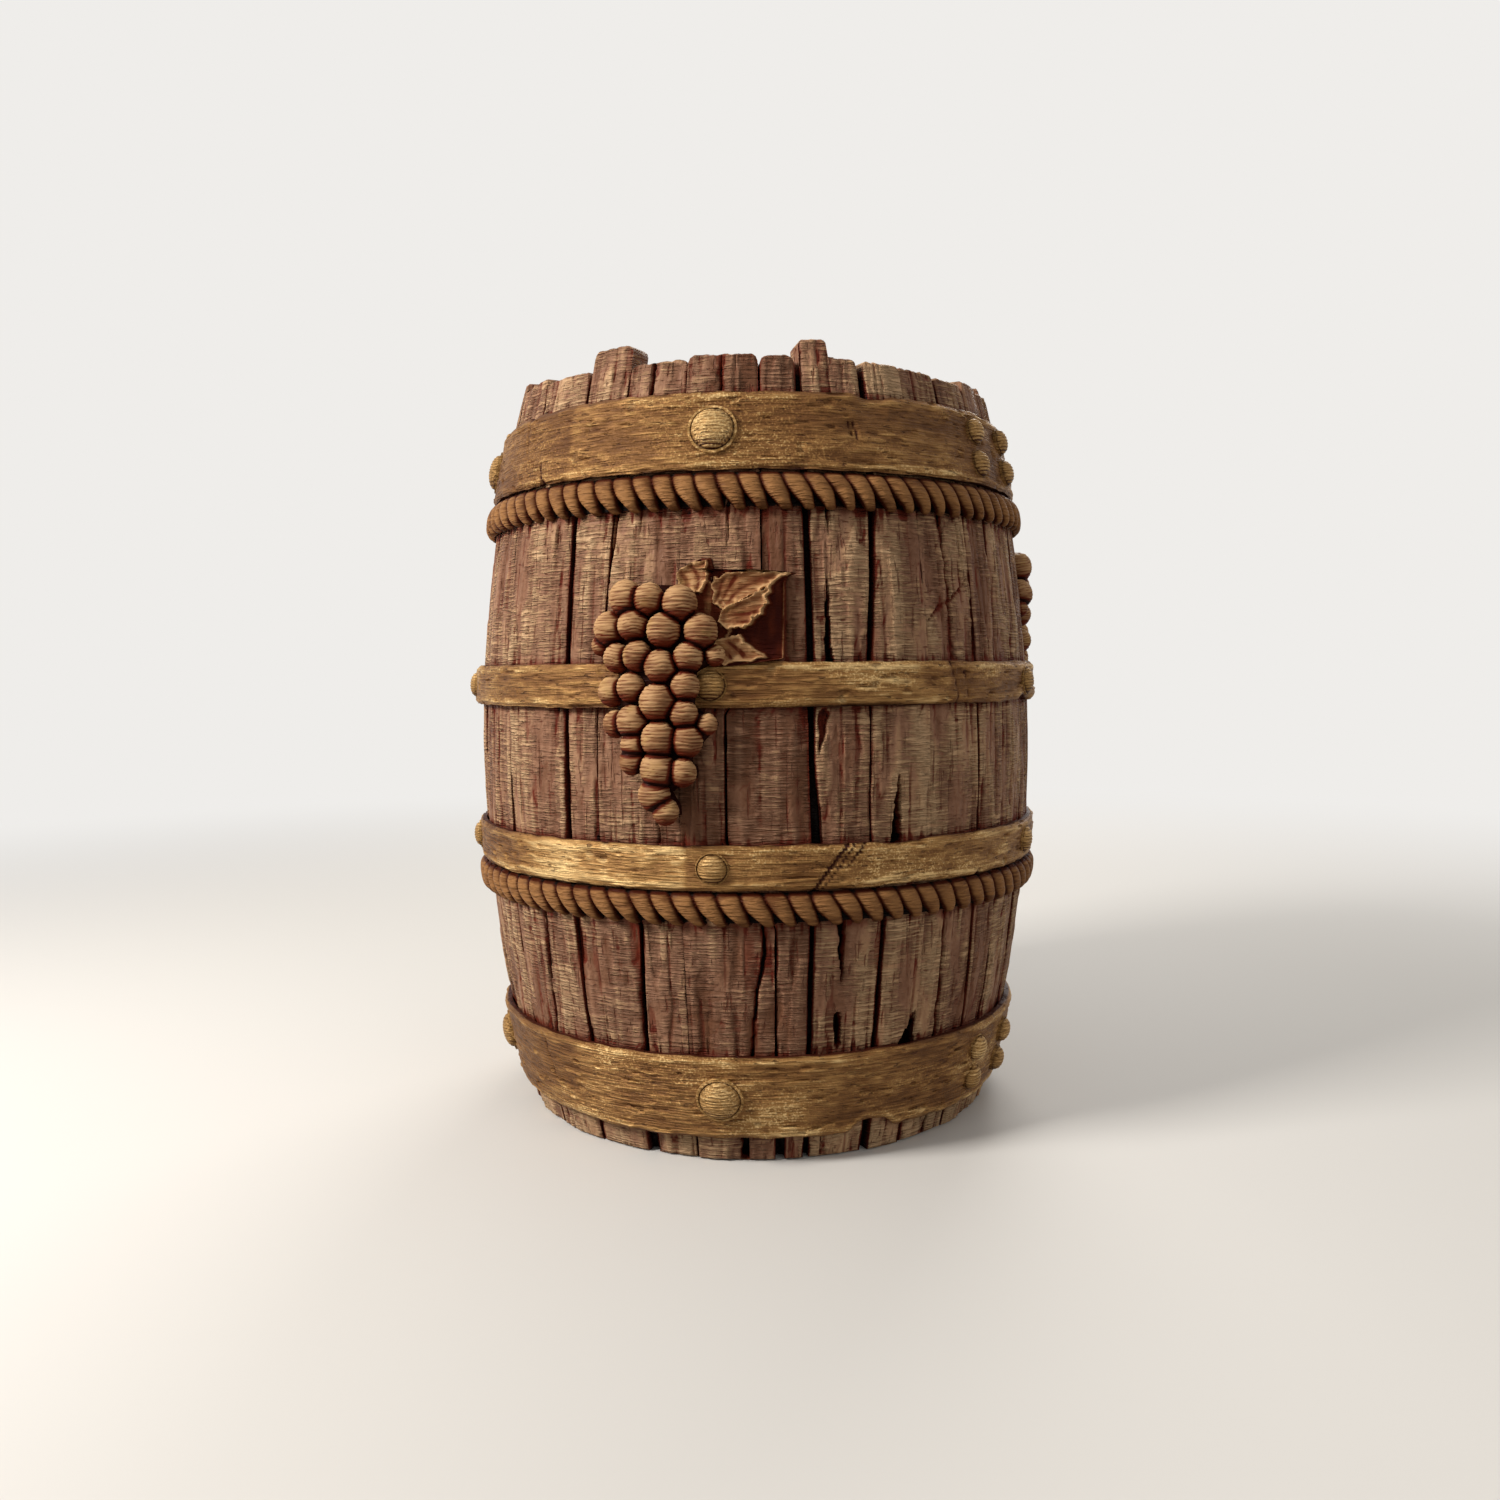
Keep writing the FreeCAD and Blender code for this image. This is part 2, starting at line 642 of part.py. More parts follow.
def rivet_room(azimuth, height):
    """Cylinder that clears the head of a small rivet with a fit all round."""
    room = Part.makeCylinder(
        SMALL_FLANGE_RADIUS + SOFT_FIT, SMALL_FLANGE_HEIGHT + SMALL_DOME_HEIGHT + SOFT_FIT
    )
    return placed_on_hoop(room, azimuth, height)


def ornaments():
    """Grapes and leaves. The right ones are the left ones in a mirror."""
    envelope = cask_envelope()
    rear_grapes = grape_cluster(envelope, REAR_HEIGHT, 0.0)
    rear_leaf = vine_leaf(envelope, rear_grapes, REAR_HEIGHT, 0.0, 0.0)
    side_grapes = grape_cluster(envelope, SIDE_HEIGHT, SIDE_LEAN)
    side_leaf = vine_leaf(envelope, side_grapes, SIDE_HEIGHT, SIDE_LEAN, SIDE_LEAF_DROP)
    mirror = (Vector(0, 0, 0), Vector(0, 1, 0))
    pairs = {
        "rear": (rear_grapes, rear_leaf),
        "left": (side_grapes, side_leaf),
        "right": (side_grapes.mirror(*mirror), side_leaf.mirror(*mirror)),
    }
    shapes = {}
    for side, (grapes, leaf) in pairs.items():
        middle = CLUSTER_AZIMUTHS[side]
        cluster = turned(grapes, middle)
        for azimuth, height in rivet_places()["rivets_small"]:
            across = abs(azimuth - middle) / DEGREES * BELLY_RADIUS
            if across < (BACKING_HALF_WIDTH + GRAPE_HALF_WIDTH) * CLUSTER_SCALE:
                cluster = cluster.cut(rivet_room(azimuth, height))
        shapes["grapes_" + side] = cluster
        shapes["leaf_" + side] = turned(leaf, middle)
    return shapes


def base_head():
    """Round board in the groove at the foot of the staves."""
    middle = HEAD_HEIGHT + HEAD_THICKNESS / 2
    radius = bore_radius(middle) + GROOVE_DEPTH - SOFT_FIT
    return Part.makeCylinder(radius, HEAD_THICKNESS, Vector(0, 0, HEAD_HEIGHT))


def lid_ledge():
    """Wooden ring inside the staves that carries the lid."""
    high = LID_SEAT_HEIGHT
    low = high - LEDGE_HEIGHT
    offset = -STAVE_THICKNESS - WOOD_FIT
    edges = [
        bow_edge(low, high, offset),
        line(at(skin_radius(low, offset), low), at(LEDGE_INNER_RADIUS, low)),
        line(at(LEDGE_INNER_RADIUS, low), at(LEDGE_INNER_RADIUS, high)),
        line(at(LEDGE_INNER_RADIUS, high), at(skin_radius(high, offset), high)),
    ]
    return swept(Part.Face(Part.Wire(Part.__sortEdges__(edges))), 0, 360)


def lid():
    """Lid of three boards held by two battens, with a turned knob."""
    seat = LID_SEAT_HEIGHT + WOOD_FIT
    disc = Part.makeCylinder(LID_RADIUS, LID_THICKNESS, Vector(0, 0, seat))
    disc = disc.cut(Part.makeCylinder(TENON_RADIUS + METAL_FIT, LID_THICKNESS, Vector(0, 0, seat)))
    board_width = 2 * LID_RADIUS / BOARD_COUNT
    shapes = {}
    for number in range(BOARD_COUNT):
        left = -LID_RADIUS + number * board_width
        strip = Part.makeBox(
            board_width - BOARD_GAP, 2 * LID_RADIUS, LID_THICKNESS,
            Vector(left + BOARD_GAP / 2, -LID_RADIUS, seat),
        )
        shapes["lid_board_%d" % (number + 1)] = disc.common(strip)
    reach = LEDGE_INNER_RADIUS - BATTEN_END_CLEARANCE
    battens = []
    room = Part.makeCylinder(reach, BATTEN_THICKNESS, Vector(0, 0, seat - BATTEN_THICKNESS))
    for side in (-1, 1):
        bar = Part.makeBox(
            2 * reach, BATTEN_WIDTH, BATTEN_THICKNESS,
            Vector(-reach, side * BATTEN_SPACING / 2 - BATTEN_WIDTH / 2, seat - BATTEN_THICKNESS),
        )
        battens.append(bar.common(room))
    shapes["lid_battens"] = Part.Compound(battens)
    top = seat + LID_THICKNESS
    section = profile_face([
        at(0, seat),
        at(TENON_RADIUS, seat),
        at(TENON_RADIUS, top),
        at(KNOB_FOOT_RADIUS, top),
        (
            at(KNOB_NECK_RADIUS, top + KNOB_NECK_HEIGHT),
            at(KNOB_UNDERSIDE_RADIUS, top + KNOB_UNDERSIDE_HEIGHT),
        ),
        (
            at(KNOB_RADIUS, top + KNOB_WIDEST_HEIGHT),
            at(KNOB_TOP_RADIUS, top + KNOB_TOP_HEIGHT),
        ),
        at(0, top + KNOB_HEIGHT),
    ])
    shapes["lid_knob"] = section.revolve(ORIGIN, UP, 360)
    return shapes


def wine_bag():
    """Filled bag that stands on the base head, slack at the shoulder."""
    low = HEAD_HEIGHT + HEAD_THICKNESS + SOFT_FIT
    side_low = low + BAG_SIDE_HEIGHT
    radius = bore_radius(side_low) - BAG_CLEARANCE
    high = LID_SEAT_HEIGHT - LEDGE_HEIGHT - BAG_HEADROOM
    side_high = high - BAG_SHOULDER_DROP
    foot = radius - BAG_FOOT_INSET
    section = profile_face([
        at(0, low),
        at(foot, low),
        (
            at(radius - BAG_SAG, low + BAG_SIDE_HEIGHT / 3),
            at(radius, side_low),
        ),
        at(radius, side_high),
        (
            at(radius - BAG_SAG, high - BAG_SHOULDER_DROP / 2),
            at(BAG_SHOULDER_RADIUS, high - BAG_SAG),
        ),
        at(0, high),
    ])
    bag = section.revolve(ORIGIN, UP, 360)
    front = Part.makeBox(
        2 * radius, radius, 2 * high,
        Vector(-radius, -GLAND_FLANGE_OUT + SOFT_FIT - radius, 0),
    )
    return bag.cut(front)


def bag_gland():
    """Flanged neck that is welded to the bag and reaches out through the stave."""
    flange_end = GLAND_FLANGE_OUT + GLAND_FLANGE_THICKNESS
    flange = round_bar(GLAND_FLANGE_RADIUS, GLAND_FLANGE_OUT, flange_end)
    neck = round_bar(GLAND_RADIUS, GLAND_FLANGE_OUT, NECK_FACE_OUT)
    return flange.fuse(neck).cut(round_bar(GLAND_BORE, 0, NECK_FACE_OUT))


def neck_ring():
    """Ring with a flange that lines the hole in the stave."""
    inner_end = bore_radius(TAP_HEIGHT)
    sleeve = round_bar(NECK_RING_RADIUS, inner_end, NECK_FACE_OUT)
    flange = round_bar(NECK_FLANGE_RADIUS, NECK_FACE_OUT - NECK_FLANGE_THICKNESS, NECK_FACE_OUT)
    return sleeve.fuse(flange).cut(round_bar(NECK_RING_INNER, 0, NECK_FACE_OUT))


def tap_body():
    """Tap body: spigot, collar, barrel with a valve seat, spout and the lever's lug."""
    spigot_back = BODY_BACK_OUT - SPIGOT_LENGTH
    spigot = round_bar(GLAND_BORE - SHAFT_FIT, spigot_back, BODY_BACK_OUT)
    collar = round_bar(BODY_COLLAR_RADIUS, BODY_BACK_OUT, BODY_BACK_OUT + BODY_COLLAR_THICKNESS)
    barrel = round_bar(BODY_RADIUS, BODY_BACK_OUT, BODY_FRONT_OUT)
    spout = Part.makeCylinder(
        SPOUT_RADIUS, SPOUT_DROP, tap_point(SPOUT_OUT, 0, -SPOUT_DROP), UP
    )
    eye = Part.makeCylinder(
        LUG_RADIUS, LUG_WIDTH, tap_point(PIN_OUT, -LUG_WIDTH / 2, PIN_OVER_AXIS), Vector(1, 0, 0)
    )
    web = Part.makeBox(
        LUG_WIDTH, 2 * LUG_RADIUS, PIN_OVER_AXIS,
        tap_point(PIN_OUT + LUG_RADIUS, -LUG_WIDTH / 2, 0),
    )
    solid = spigot.multiFuse([collar, barrel, spout, eye, web])
    back_room = round_bar(BODY_BORE_RADIUS, spigot_back, SEAT_OUT)
    orifice = round_bar(SEAT_ORIFICE_RADIUS, spigot_back, SPOUT_OUT)
    front_room = round_bar(
        BODY_BORE_RADIUS, SEAT_OUT + SEAT_THICKNESS, BODY_FRONT_OUT - BODY_FRONT_WALL
    )
    guide = round_bar(STEM_RADIUS + SHAFT_FIT, SPOUT_OUT, BODY_FRONT_OUT)
    recess = round_bar(
        SPRING_RECESS_RADIUS, BODY_FRONT_OUT - SPRING_RECESS_DEPTH, BODY_FRONT_OUT
    )
    spout_bore = Part.makeCylinder(
        SPOUT_BORE_RADIUS, SPOUT_DROP, tap_point(SPOUT_OUT, 0, -SPOUT_DROP), UP
    )
    pin_hole = Part.makeCylinder(
        PIN_RADIUS + METAL_FIT, 2 * LUG_WIDTH, tap_point(PIN_OUT, -LUG_WIDTH, PIN_OVER_AXIS),
        Vector(1, 0, 0),
    )
    for tool in (back_room, orifice, front_room, guide, recess, spout_bore, pin_hole):
        solid = solid.cut(tool)
    return solid


def valve_stem():
    """Stem with the valve plug at its inner end and the push head at its front."""
    plug = round_bar(PLUG_RADIUS, PLUG_OUT, PLUG_OUT + PLUG_THICKNESS)
    rod = round_bar(STEM_RADIUS, PLUG_OUT, HEAD_OUT)
    head = round_bar(STEM_HEAD_RADIUS, HEAD_OUT - STEM_HEAD_THICKNESS, HEAD_OUT)
    return plug.multiFuse([rod, head])


def valve_seal():
    """Flat rubber washer on the stem that closes against the valve seat."""
    start = PLUG_OUT + PLUG_THICKNESS
    washer = round_bar(PLUG_RADIUS, start, start + SEAL_THICKNESS)
    return washer.cut(round_bar(STEM_RADIUS, start, SEAT_OUT))


def coil_point(share, length):
    """Point of the spring's centre line at a share of its length."""
    angle = 2 * math.pi * SPRING_TURNS * share
    return Vector(
        SPRING_COIL_RADIUS * math.cos(angle), SPRING_COIL_RADIUS * math.sin(angle), length * share
    )


def coil_heading(share, length):
    """Unit tangent of the spring's centre line at a share of its length."""
    sweep = 2 * math.pi * SPRING_TURNS
    angle = sweep * share
    heading = Vector(
        -SPRING_COIL_RADIUS * sweep * math.sin(angle),
        SPRING_COIL_RADIUS * sweep * math.cos(angle),
        length,
    )
    return heading.normalize()


def rounded_corner(start, corner, end):
    """Arc that leaves one point towards a corner and arrives at another from it."""
    first = (corner - start).normalize()
    second = (end - corner).normalize()
    weight = math.cos(first.getAngle(second) / 2)
    middle = ((start + end) * 0.5 + corner * weight) * (1 / (1 + weight))
    return Part.Arc(start, middle, end).toShape()


def two_arcs(start, leaving, end, arriving):
    """Two tangent arcs that join two points with the given headings."""
    across = end - start
    both = leaving + arriving
    square = 2 * (1 - leaving.dot(arriving))
    half = across.dot(both)
    reach = (math.sqrt(half ** 2 + square * across.dot(across)) - half) / square
    near = start + leaving * reach
    far = end - arriving * reach
    joint = (near + far) * 0.5
    return [rounded_corner(start, near, joint), rounded_corner(joint, far, end)]


def least_coil_gap(length):
    """Least gap between two turns of the spring, measured on points of its centre line."""
    count = SPRING_TURNS * SPRING_STEPS * 4
    points = [coil_point(step / count, length) for step in range(count + 1)]
    half_turn = count // SPRING_TURNS // 2
    gaps = [
        (points[late] - points[early]).Length
        for early in range(count + 1)
        for late in range(early + half_turn, count + 1)
    ]
    return min(gaps) - 2 * SPRING_WIRE_RADIUS


def tap_spring():
    """Return spring round the stem, between the body's recess and the push head."""
    start = BODY_FRONT_OUT - SPRING_RECESS_DEPTH + SPRING_WIRE_RADIUS + METAL_FIT
    end = HEAD_OUT - STEM_HEAD_THICKNESS - SPRING_WIRE_RADIUS - METAL_FIT
    length = end - start
    count = SPRING_TURNS * SPRING_STEPS
    edges = []
    for step in range(count):
        shares = (step / count, (step + 1) / count)
        (first, second) = [coil_point(share, length) for share in shares]
        (leaving, arriving) = [coil_heading(share, length) for share in shares]
        edges += two_arcs(first, leaving, second, arriving)
    section = Part.makeCircle(SPRING_WIRE_RADIUS, coil_point(0, length), coil_heading(0, length))
    coil = Part.Wire(edges).makePipeShell([Part.Wire([section])], True, False)
    coil.Placement = FreeCAD.Placement(tap_point(start), Rotation(UP, Vector(0, -1, 0)))
    print("tap_spring: least gap between turns %.2f mm" % least_coil_gap(length))
    return coil


def lever_pin():
    """Pin that the lever turns on."""
    return Part.makeCylinder(
        PIN_RADIUS, PIN_LENGTH, tap_point(PIN_OUT, -PIN_LENGTH / 2, PIN_OVER_AXIS), Vector(1, 0, 0)
    )


def tap_lever():
    """Push lever: two ears on the pin, an arm over the body and a paddle with a pad."""
    contact = HEAD_OUT + SOFT_FIT
    inner = contact + PAD_HEIGHT
    outer = inner + LEVER_THICKNESS
    top = PIN_OVER_AXIS + LEVER_EAR_RADIUS
    foot = PIN_OVER_AXIS - LEVER_PADDLE_DROP
    ear_inner = LUG_WIDTH / 2 + LEVER_EAR_CLEARANCE
    ear_width = LEVER_WIDTH / 2 - ear_inner
    paddle = Part.makeBox(
        LEVER_WIDTH, LEVER_THICKNESS, top - foot,
        tap_point(outer, -LEVER_WIDTH / 2, foot),
    )
    arm = Part.makeBox(
        LEVER_WIDTH, outer - PIN_OUT - LUG_RADIUS - LEVER_LUG_CLEARANCE, LEVER_THICKNESS,
        tap_point(outer, -LEVER_WIDTH / 2, top - LEVER_THICKNESS),
    )
    solid = paddle.fuse(arm).removeSplitter()
    bend = [
        edge for edge in solid.Edges
        if abs(edge.BoundBox.YMin + outer) < 0.01 and abs(edge.BoundBox.YMax + outer) < 0.01
        and abs(edge.BoundBox.ZMin - TAP_HEIGHT - top) < 0.01
    ]
    solid = solid.makeFillet(LEVER_FILLET, bend)
    pad = Part.makeCylinder(
        PAD_RADIUS, PAD_WIDTH, tap_point(contact + PAD_RADIUS, -PAD_WIDTH / 2), Vector(1, 0, 0)
    )
    added = [pad]
    for start in (-LEVER_WIDTH / 2, ear_inner):
        added.append(Part.makeCylinder(
            LEVER_EAR_RADIUS, ear_width, tap_point(PIN_OUT, start, PIN_OVER_AXIS), Vector(1, 0, 0)
        ))
        added.append(Part.makeBox(
            ear_width, inner - PIN_OUT, 2 * LEVER_EAR_RADIUS - LEVER_THICKNESS,
            tap_point(inner, start, PIN_OVER_AXIS - LEVER_EAR_RADIUS + LEVER_THICKNESS),
        ))
    hole = Part.makeCylinder(
        PIN_RADIUS + SHAFT_FIT, 2 * LEVER_WIDTH,
        tap_point(PIN_OUT, -LEVER_WIDTH, PIN_OVER_AXIS), Vector(1, 0, 0),
    )
    return solid.multiFuse(added).cut(hole).removeSplitter()


def build():
    """Every node of the model by name."""
    shapes = {}
    shapes.update(staves())
    shapes.update(hoops())
    shapes.update(rivets())
    shapes.update(ropes())
    shapes.update(ornaments())
    shapes["base_head"] = base_head()
    shapes["lid_ledge"] = lid_ledge()
    shapes.update(lid())
    shapes["wine_bag"] = wine_bag()
    shapes["bag_gland"] = bag_gland()
    shapes["neck_ring"] = neck_ring()
    shapes["tap_body"] = tap_body()
    shapes["valve_stem"] = valve_stem()
    shapes["valve_seal"] = valve_seal()
    shapes["tap_spring"] = tap_spring()
    shapes["lever_pin"] = lever_pin()
    shapes["tap_lever"] = tap_lever()
    return shapes


os.makedirs("parts", exist_ok=True)
for node, shape in build().items():
    if not shape.isValid():
        print("not valid:", node)
    box = shape.BoundBox
    print("%-14s solids %d  volume %9.1f  x %7.1f %7.1f  y %7.1f %7.1f  z %6.1f %6.1f" % (
        node, len(shape.Solids), shape.Volume,
        box.XMin, box.XMax, box.YMin, box.YMax, box.ZMin, box.ZMax,
    ))
    shape.exportStep("parts/%s.step" % node)
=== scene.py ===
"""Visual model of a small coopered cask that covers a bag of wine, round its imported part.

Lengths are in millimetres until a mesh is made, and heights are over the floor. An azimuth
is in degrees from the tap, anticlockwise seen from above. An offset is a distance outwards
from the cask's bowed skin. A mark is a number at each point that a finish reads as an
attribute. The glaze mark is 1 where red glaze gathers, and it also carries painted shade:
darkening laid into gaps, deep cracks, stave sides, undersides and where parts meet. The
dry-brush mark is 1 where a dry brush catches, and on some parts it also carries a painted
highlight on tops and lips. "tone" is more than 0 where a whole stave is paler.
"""

import logging
import math
from dataclasses import dataclass, field
from enum import Enum
from functools import cached_property
from itertools import zip_longest

import bpy
import numpy as np
from mathutils import Matrix


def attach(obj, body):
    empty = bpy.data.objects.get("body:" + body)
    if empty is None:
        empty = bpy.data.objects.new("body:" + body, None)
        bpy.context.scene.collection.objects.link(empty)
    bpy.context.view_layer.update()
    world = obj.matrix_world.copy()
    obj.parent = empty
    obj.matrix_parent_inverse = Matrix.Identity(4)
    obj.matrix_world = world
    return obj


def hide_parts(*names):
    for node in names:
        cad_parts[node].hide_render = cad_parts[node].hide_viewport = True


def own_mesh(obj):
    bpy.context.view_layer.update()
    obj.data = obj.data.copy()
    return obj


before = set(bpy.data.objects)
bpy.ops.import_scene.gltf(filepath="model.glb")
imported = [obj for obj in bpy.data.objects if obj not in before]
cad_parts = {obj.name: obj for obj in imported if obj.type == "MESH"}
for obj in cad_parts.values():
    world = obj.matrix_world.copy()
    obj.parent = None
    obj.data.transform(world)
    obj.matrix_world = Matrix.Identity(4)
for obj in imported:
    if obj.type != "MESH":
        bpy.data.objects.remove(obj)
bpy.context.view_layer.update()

LOG = logging.getLogger("cask")
Array = np.ndarray
Marks = dict[str, Array]
Object = bpy.types.Object
Socket = bpy.types.NodeSocket
Size = tuple[float, float]
Triple = tuple[float, float, float]
Stops = tuple[tuple[float, str], ...]
METRES = 0.001

# Angle in degrees between faces past which their edge is shaded sharp
CREASE = 45.0

# Azimuth of the middle of the photographed side, how far to each side it shows the staves,
# and the arc of one degree on the belly
SEEN_AZIMUTH = 195.3
SEEN_HALF_ANGLE = 72.0
DEGREE = math.radians(115.0)

# Height in the photograph's own measures of the floor that the cask stands on
PHOTO_FLOOR = 2.5


# Shapes from arrays

def unit(share: Array) -> Array:
    """The nearest number from 0 to 1."""
    return np.clip(share, 0.0, 1.0)


def smooth(share: Array) -> Array:
    """Eased step from 0 to 1 for a share from 0 to 1: 3t^2 - 2t^3, flat outside."""
    t = unit(share)
    return t * t * (3.0 - 2.0 * t)


def noise(x: Array, y: Array, seed: int, period: int = 256) -> Array:
    """Smooth noise from -1 to 1.

    Whole-number points hold random values, and the eased shares of the way between them
    blend the four around a point.

    Args:
        x: First coordinate, in cells. It repeats after the period.
        y: Second coordinate, in cells.
        seed: Picks the random values.
        period: Cells after which x repeats.

    Returns:
        A value for each point.
    """
    rows = 64
    values = np.random.default_rng(seed).uniform(-1.0, 1.0, (period, rows))
    column = np.floor(x).astype(int)
    row = np.floor(y).astype(int)
    along = smooth(x - column)
    up = smooth(y - row)
    near = values[column % period, row % rows]
    right = values[(column + 1) % period, row % rows]
    above = values[column % period, (row + 1) % rows]
    across = values[(column + 1) % period, (row + 1) % rows]
    low = near + (right - near) * along
    return low + (above + (across - above) * along - low) * up


def rough(x: Array, y: Array, seed: int, layers: int = 3, period: int = 256) -> Array:
    """Noise with detail: each further layer has half the strength at twice the pitch.

    Args:
        x: First coordinate, in cells.
        y: Second coordinate, in cells.
        seed: Picks the random values.
        layers: How many layers are added.
        period: Cells after which the first layer repeats in x.

    Returns:
        A value for each point, about -1.5 to 1.5.
    """
    total = np.zeros(np.broadcast(x, y).shape)
    for layer in range(layers):
        scale = 2 ** layer
        total += noise(x * scale, y * scale, seed + 101 * layer, period * scale) / scale
    return total


def stacked(*parts: Array) -> Array:
    """Points from their coordinates, each spread over the shape of all of them."""
    return np.stack(np.broadcast_arrays(*parts), axis=-1)


def circle(columns: int) -> Array:
    """Angles in radians at even steps once round, as one row."""
    return np.linspace(0.0, 2 * math.pi, columns, endpoint=False)[None, :]


def wrapped(degrees: Array) -> Array:
    """The same angle from -180 to 180 degrees."""
    return (degrees + 180.0) % 360.0 - 180.0


def traced(outline: Array, rows: int) -> tuple[Array, Array]:
    """Radius and height along an outline, at even steps between its corners, as columns."""
    steps = np.linspace(0, len(outline) - 1, rows)
    corners = np.arange(len(outline))
    return tuple(np.interp(steps, corners, outline[:, k])[:, None] for k in (0, 1))


@dataclass(frozen=True)
class Skin:
    """Bowed outer surface of the cask, an arc turned about the upright axis."""

    belly_radius: float = 115.0
    belly_height: float = 143.0
    bow_radius: float = 568.0

    def radius(self, height: Array, offset: Array = 0.0) -> Array:
        """Radius at a height, moved outwards.

        It is belly radius - bow radius + sqrt(b^2 - (height - belly height)^2), where b is
        the bow radius plus the offset.

        Args:
            height: Height over the floor.
            offset: Distance out of the skin.

        Returns:
            The distance from the axis.
        """
        bow = self.bow_radius + offset
        rise = height - self.belly_height
        return self.belly_radius - self.bow_radius + np.sqrt(bow ** 2 - rise ** 2)

    def point(self, azimuth: Array, height: Array, offset: Array = 0.0) -> Array:
        """Points on the skin: (radius sin azimuth, -radius cos azimuth, height).

        Args:
            azimuth: Azimuth of each point.
            height: Height of each point.
            offset: Distance of each point out of the skin.

        Returns:
            Points, with their three coordinates in the last axis.
        """
        turn = np.radians(azimuth)
        radius = self.radius(height, offset)
        return stacked(radius * np.sin(turn), -radius * np.cos(turn), height)

    def axes(self, azimuth: float, height: float) -> Array:
        """Unit directions across, up along and out of the skin.

        Args:
            azimuth: Azimuth of the place.
            height: Its height.

        Returns:
            The three directions, as rows.
        """
        turn = math.radians(azimuth)
        lean = math.asin((height - self.belly_height) / self.bow_radius)
        away = np.array([math.sin(turn), -math.cos(turn), 0.0])
        across = np.array([math.cos(turn), math.sin(turn), 0.0])
        out = away * math.cos(lean) + np.array([0.0, 0.0, math.sin(lean)])
        return np.stack([across, np.cross(out, across), out])


SKIN = Skin()


def quads(index: Array) -> Array:
    """Four-cornered faces between the rows and columns of a grid of point numbers."""
    corners = [index[:-1, :-1], index[:-1, 1:], index[1:, 1:], index[1:, :-1]]
    return np.stack(corners, axis=-1).reshape(-1, 4)


def numbered(rows: int, columns: int) -> Array:
    """Grid of point numbers, counted row by row."""
    return np.arange(rows * columns).reshape(rows, columns)


def ring_faces(rows: int, columns: int) -> list[Array]:
    """Faces of a grid that closes on itself both ways, as a torus does."""
    return [quads(np.pad(numbered(rows, columns), ((0, 1), (0, 1)), mode="wrap"))]


def tube_faces(rows: int, columns: int) -> list[Array]:
    """Faces of a grid whose columns close round it, with a cap on its first and last row."""
    index = numbered(rows, columns)
    return [quads(np.pad(index, ((0, 0), (0, 1)), mode="wrap")), index[:1, ::-1], index[-1:]]


def slab_faces(rows: int, columns: int) -> list[Array]:
    """Faces of two grids that are joined round their borders.

    Args:
        rows: Rows of each grid.
        columns: Columns of each grid.

    Returns:
        The groups of faces. The second grid is numbered after the first.
    """
    top = numbered(rows, columns)
    back = top + rows * columns
    faces = [quads(top), quads(back)[:, ::-1]]
    for edge, other in (
        (top[0], back[0]), (top[:, -1], back[:, -1]),
        (top[-1, ::-1], back[-1, ::-1]), (top[::-1, 0], back[::-1, 0]),
    ):
        faces.append(quads(np.stack([other, edge])))
    return faces


def volume(points: Array, faces: list[Array]) -> float:
    """Signed volume of a closed surface: a sixth of the sum of its triangles' triple products.

    Args:
        points: The surface's points.
        faces: Its groups of faces.

    Returns:
        The volume, below 0 where the faces look inwards.
    """
    total = 0.0
    for group in faces:
        for corner in range(1, group.shape[1] - 1):
            a, b, c = (points[group[:, k]] for k in (0, corner, corner + 1))
            total += float(np.einsum("ij,ij->", a, np.cross(b, c)))
    return total / 6.0


class Shell:
    """Closed surfaces that are gathered into one mesh."""

    def __init__(self) -> None:
        """Starts with nothing in it."""
        self.points: list[Array] = []
        self.faces: list[Array] = []
        self.marks: dict[str, list[Array]] = {}
        self.count = 0

    def add(self, points: Array, faces: list[Array], **marks: Array) -> "Shell":
        """Adds a closed surface and turns its faces outwards.

        Args:
            points: Grid or list of points, three coordinates in the last axis.
            faces: Groups of faces, each with the same number of corners.
            marks: Numbers for each point that the finish reads as attributes.

        Returns:
            The shell itself.
        """
        flat = points.reshape(-1, 3)
        if volume(flat - flat.mean(axis=0), faces) < 0.0:
            faces = [group[:, ::-1] for group in faces]
        self.faces += [group + self.count for group in faces]
        self.points.append(flat)
        self.count += len(flat)
        for name, values in marks.items():
            spread = np.broadcast_to(values, points.shape[:-1]).reshape(-1)
            self.marks.setdefault(name, []).append(spread)
        return self

    def triangles(self) -> int:
        """How many triangles the surfaces come to."""
        return sum(len(group) * (group.shape[1] - 2) for group in self.faces)

    def mesh(self, name: str) -> bpy.types.Mesh:
        """Mesh in metres.

        Args:
            name: Its name.

        Returns:
            The mesh, with the marks as point attributes.
        """
        mesh = bpy.data.meshes.new(name)
        points = np.concatenate(self.points) * METRES
        corners = np.concatenate([group.ravel() for group in self.faces])
        sizes = np.concatenate([np.full(len(group), group.shape[1]) for group in self.faces])
        mesh.vertices.add(len(points))
        mesh.vertices.foreach_set("co", points.astype(np.float32).ravel())
        mesh.loops.add(len(corners))
        mesh.loops.foreach_set("vertex_index", corners.astype(np.int32))
        mesh.polygons.add(len(sizes))
        mesh.polygons.foreach_set("loop_start", (np.cumsum(sizes) - sizes).astype(np.int32))
        mesh.update(calc_edges=True)
        mesh.validate()
        mesh.polygons.foreach_set("use_smooth", np.ones(len(mesh.polygons), bool))
        mesh.set_sharp_from_angle(angle=math.radians(CREASE))
        for mark, values in self.marks.items():
            layer = mesh.attributes.new(mark, "FLOAT", "POINT")
            layer.data.foreach_set("value", np.concatenate(values).astype(np.float32))
        return mesh


class Body(Enum):
    """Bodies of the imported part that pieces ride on."""

    ROOT = "root"
    LID = "lid"
    LEVER = "lever"
    STEM = "stem"


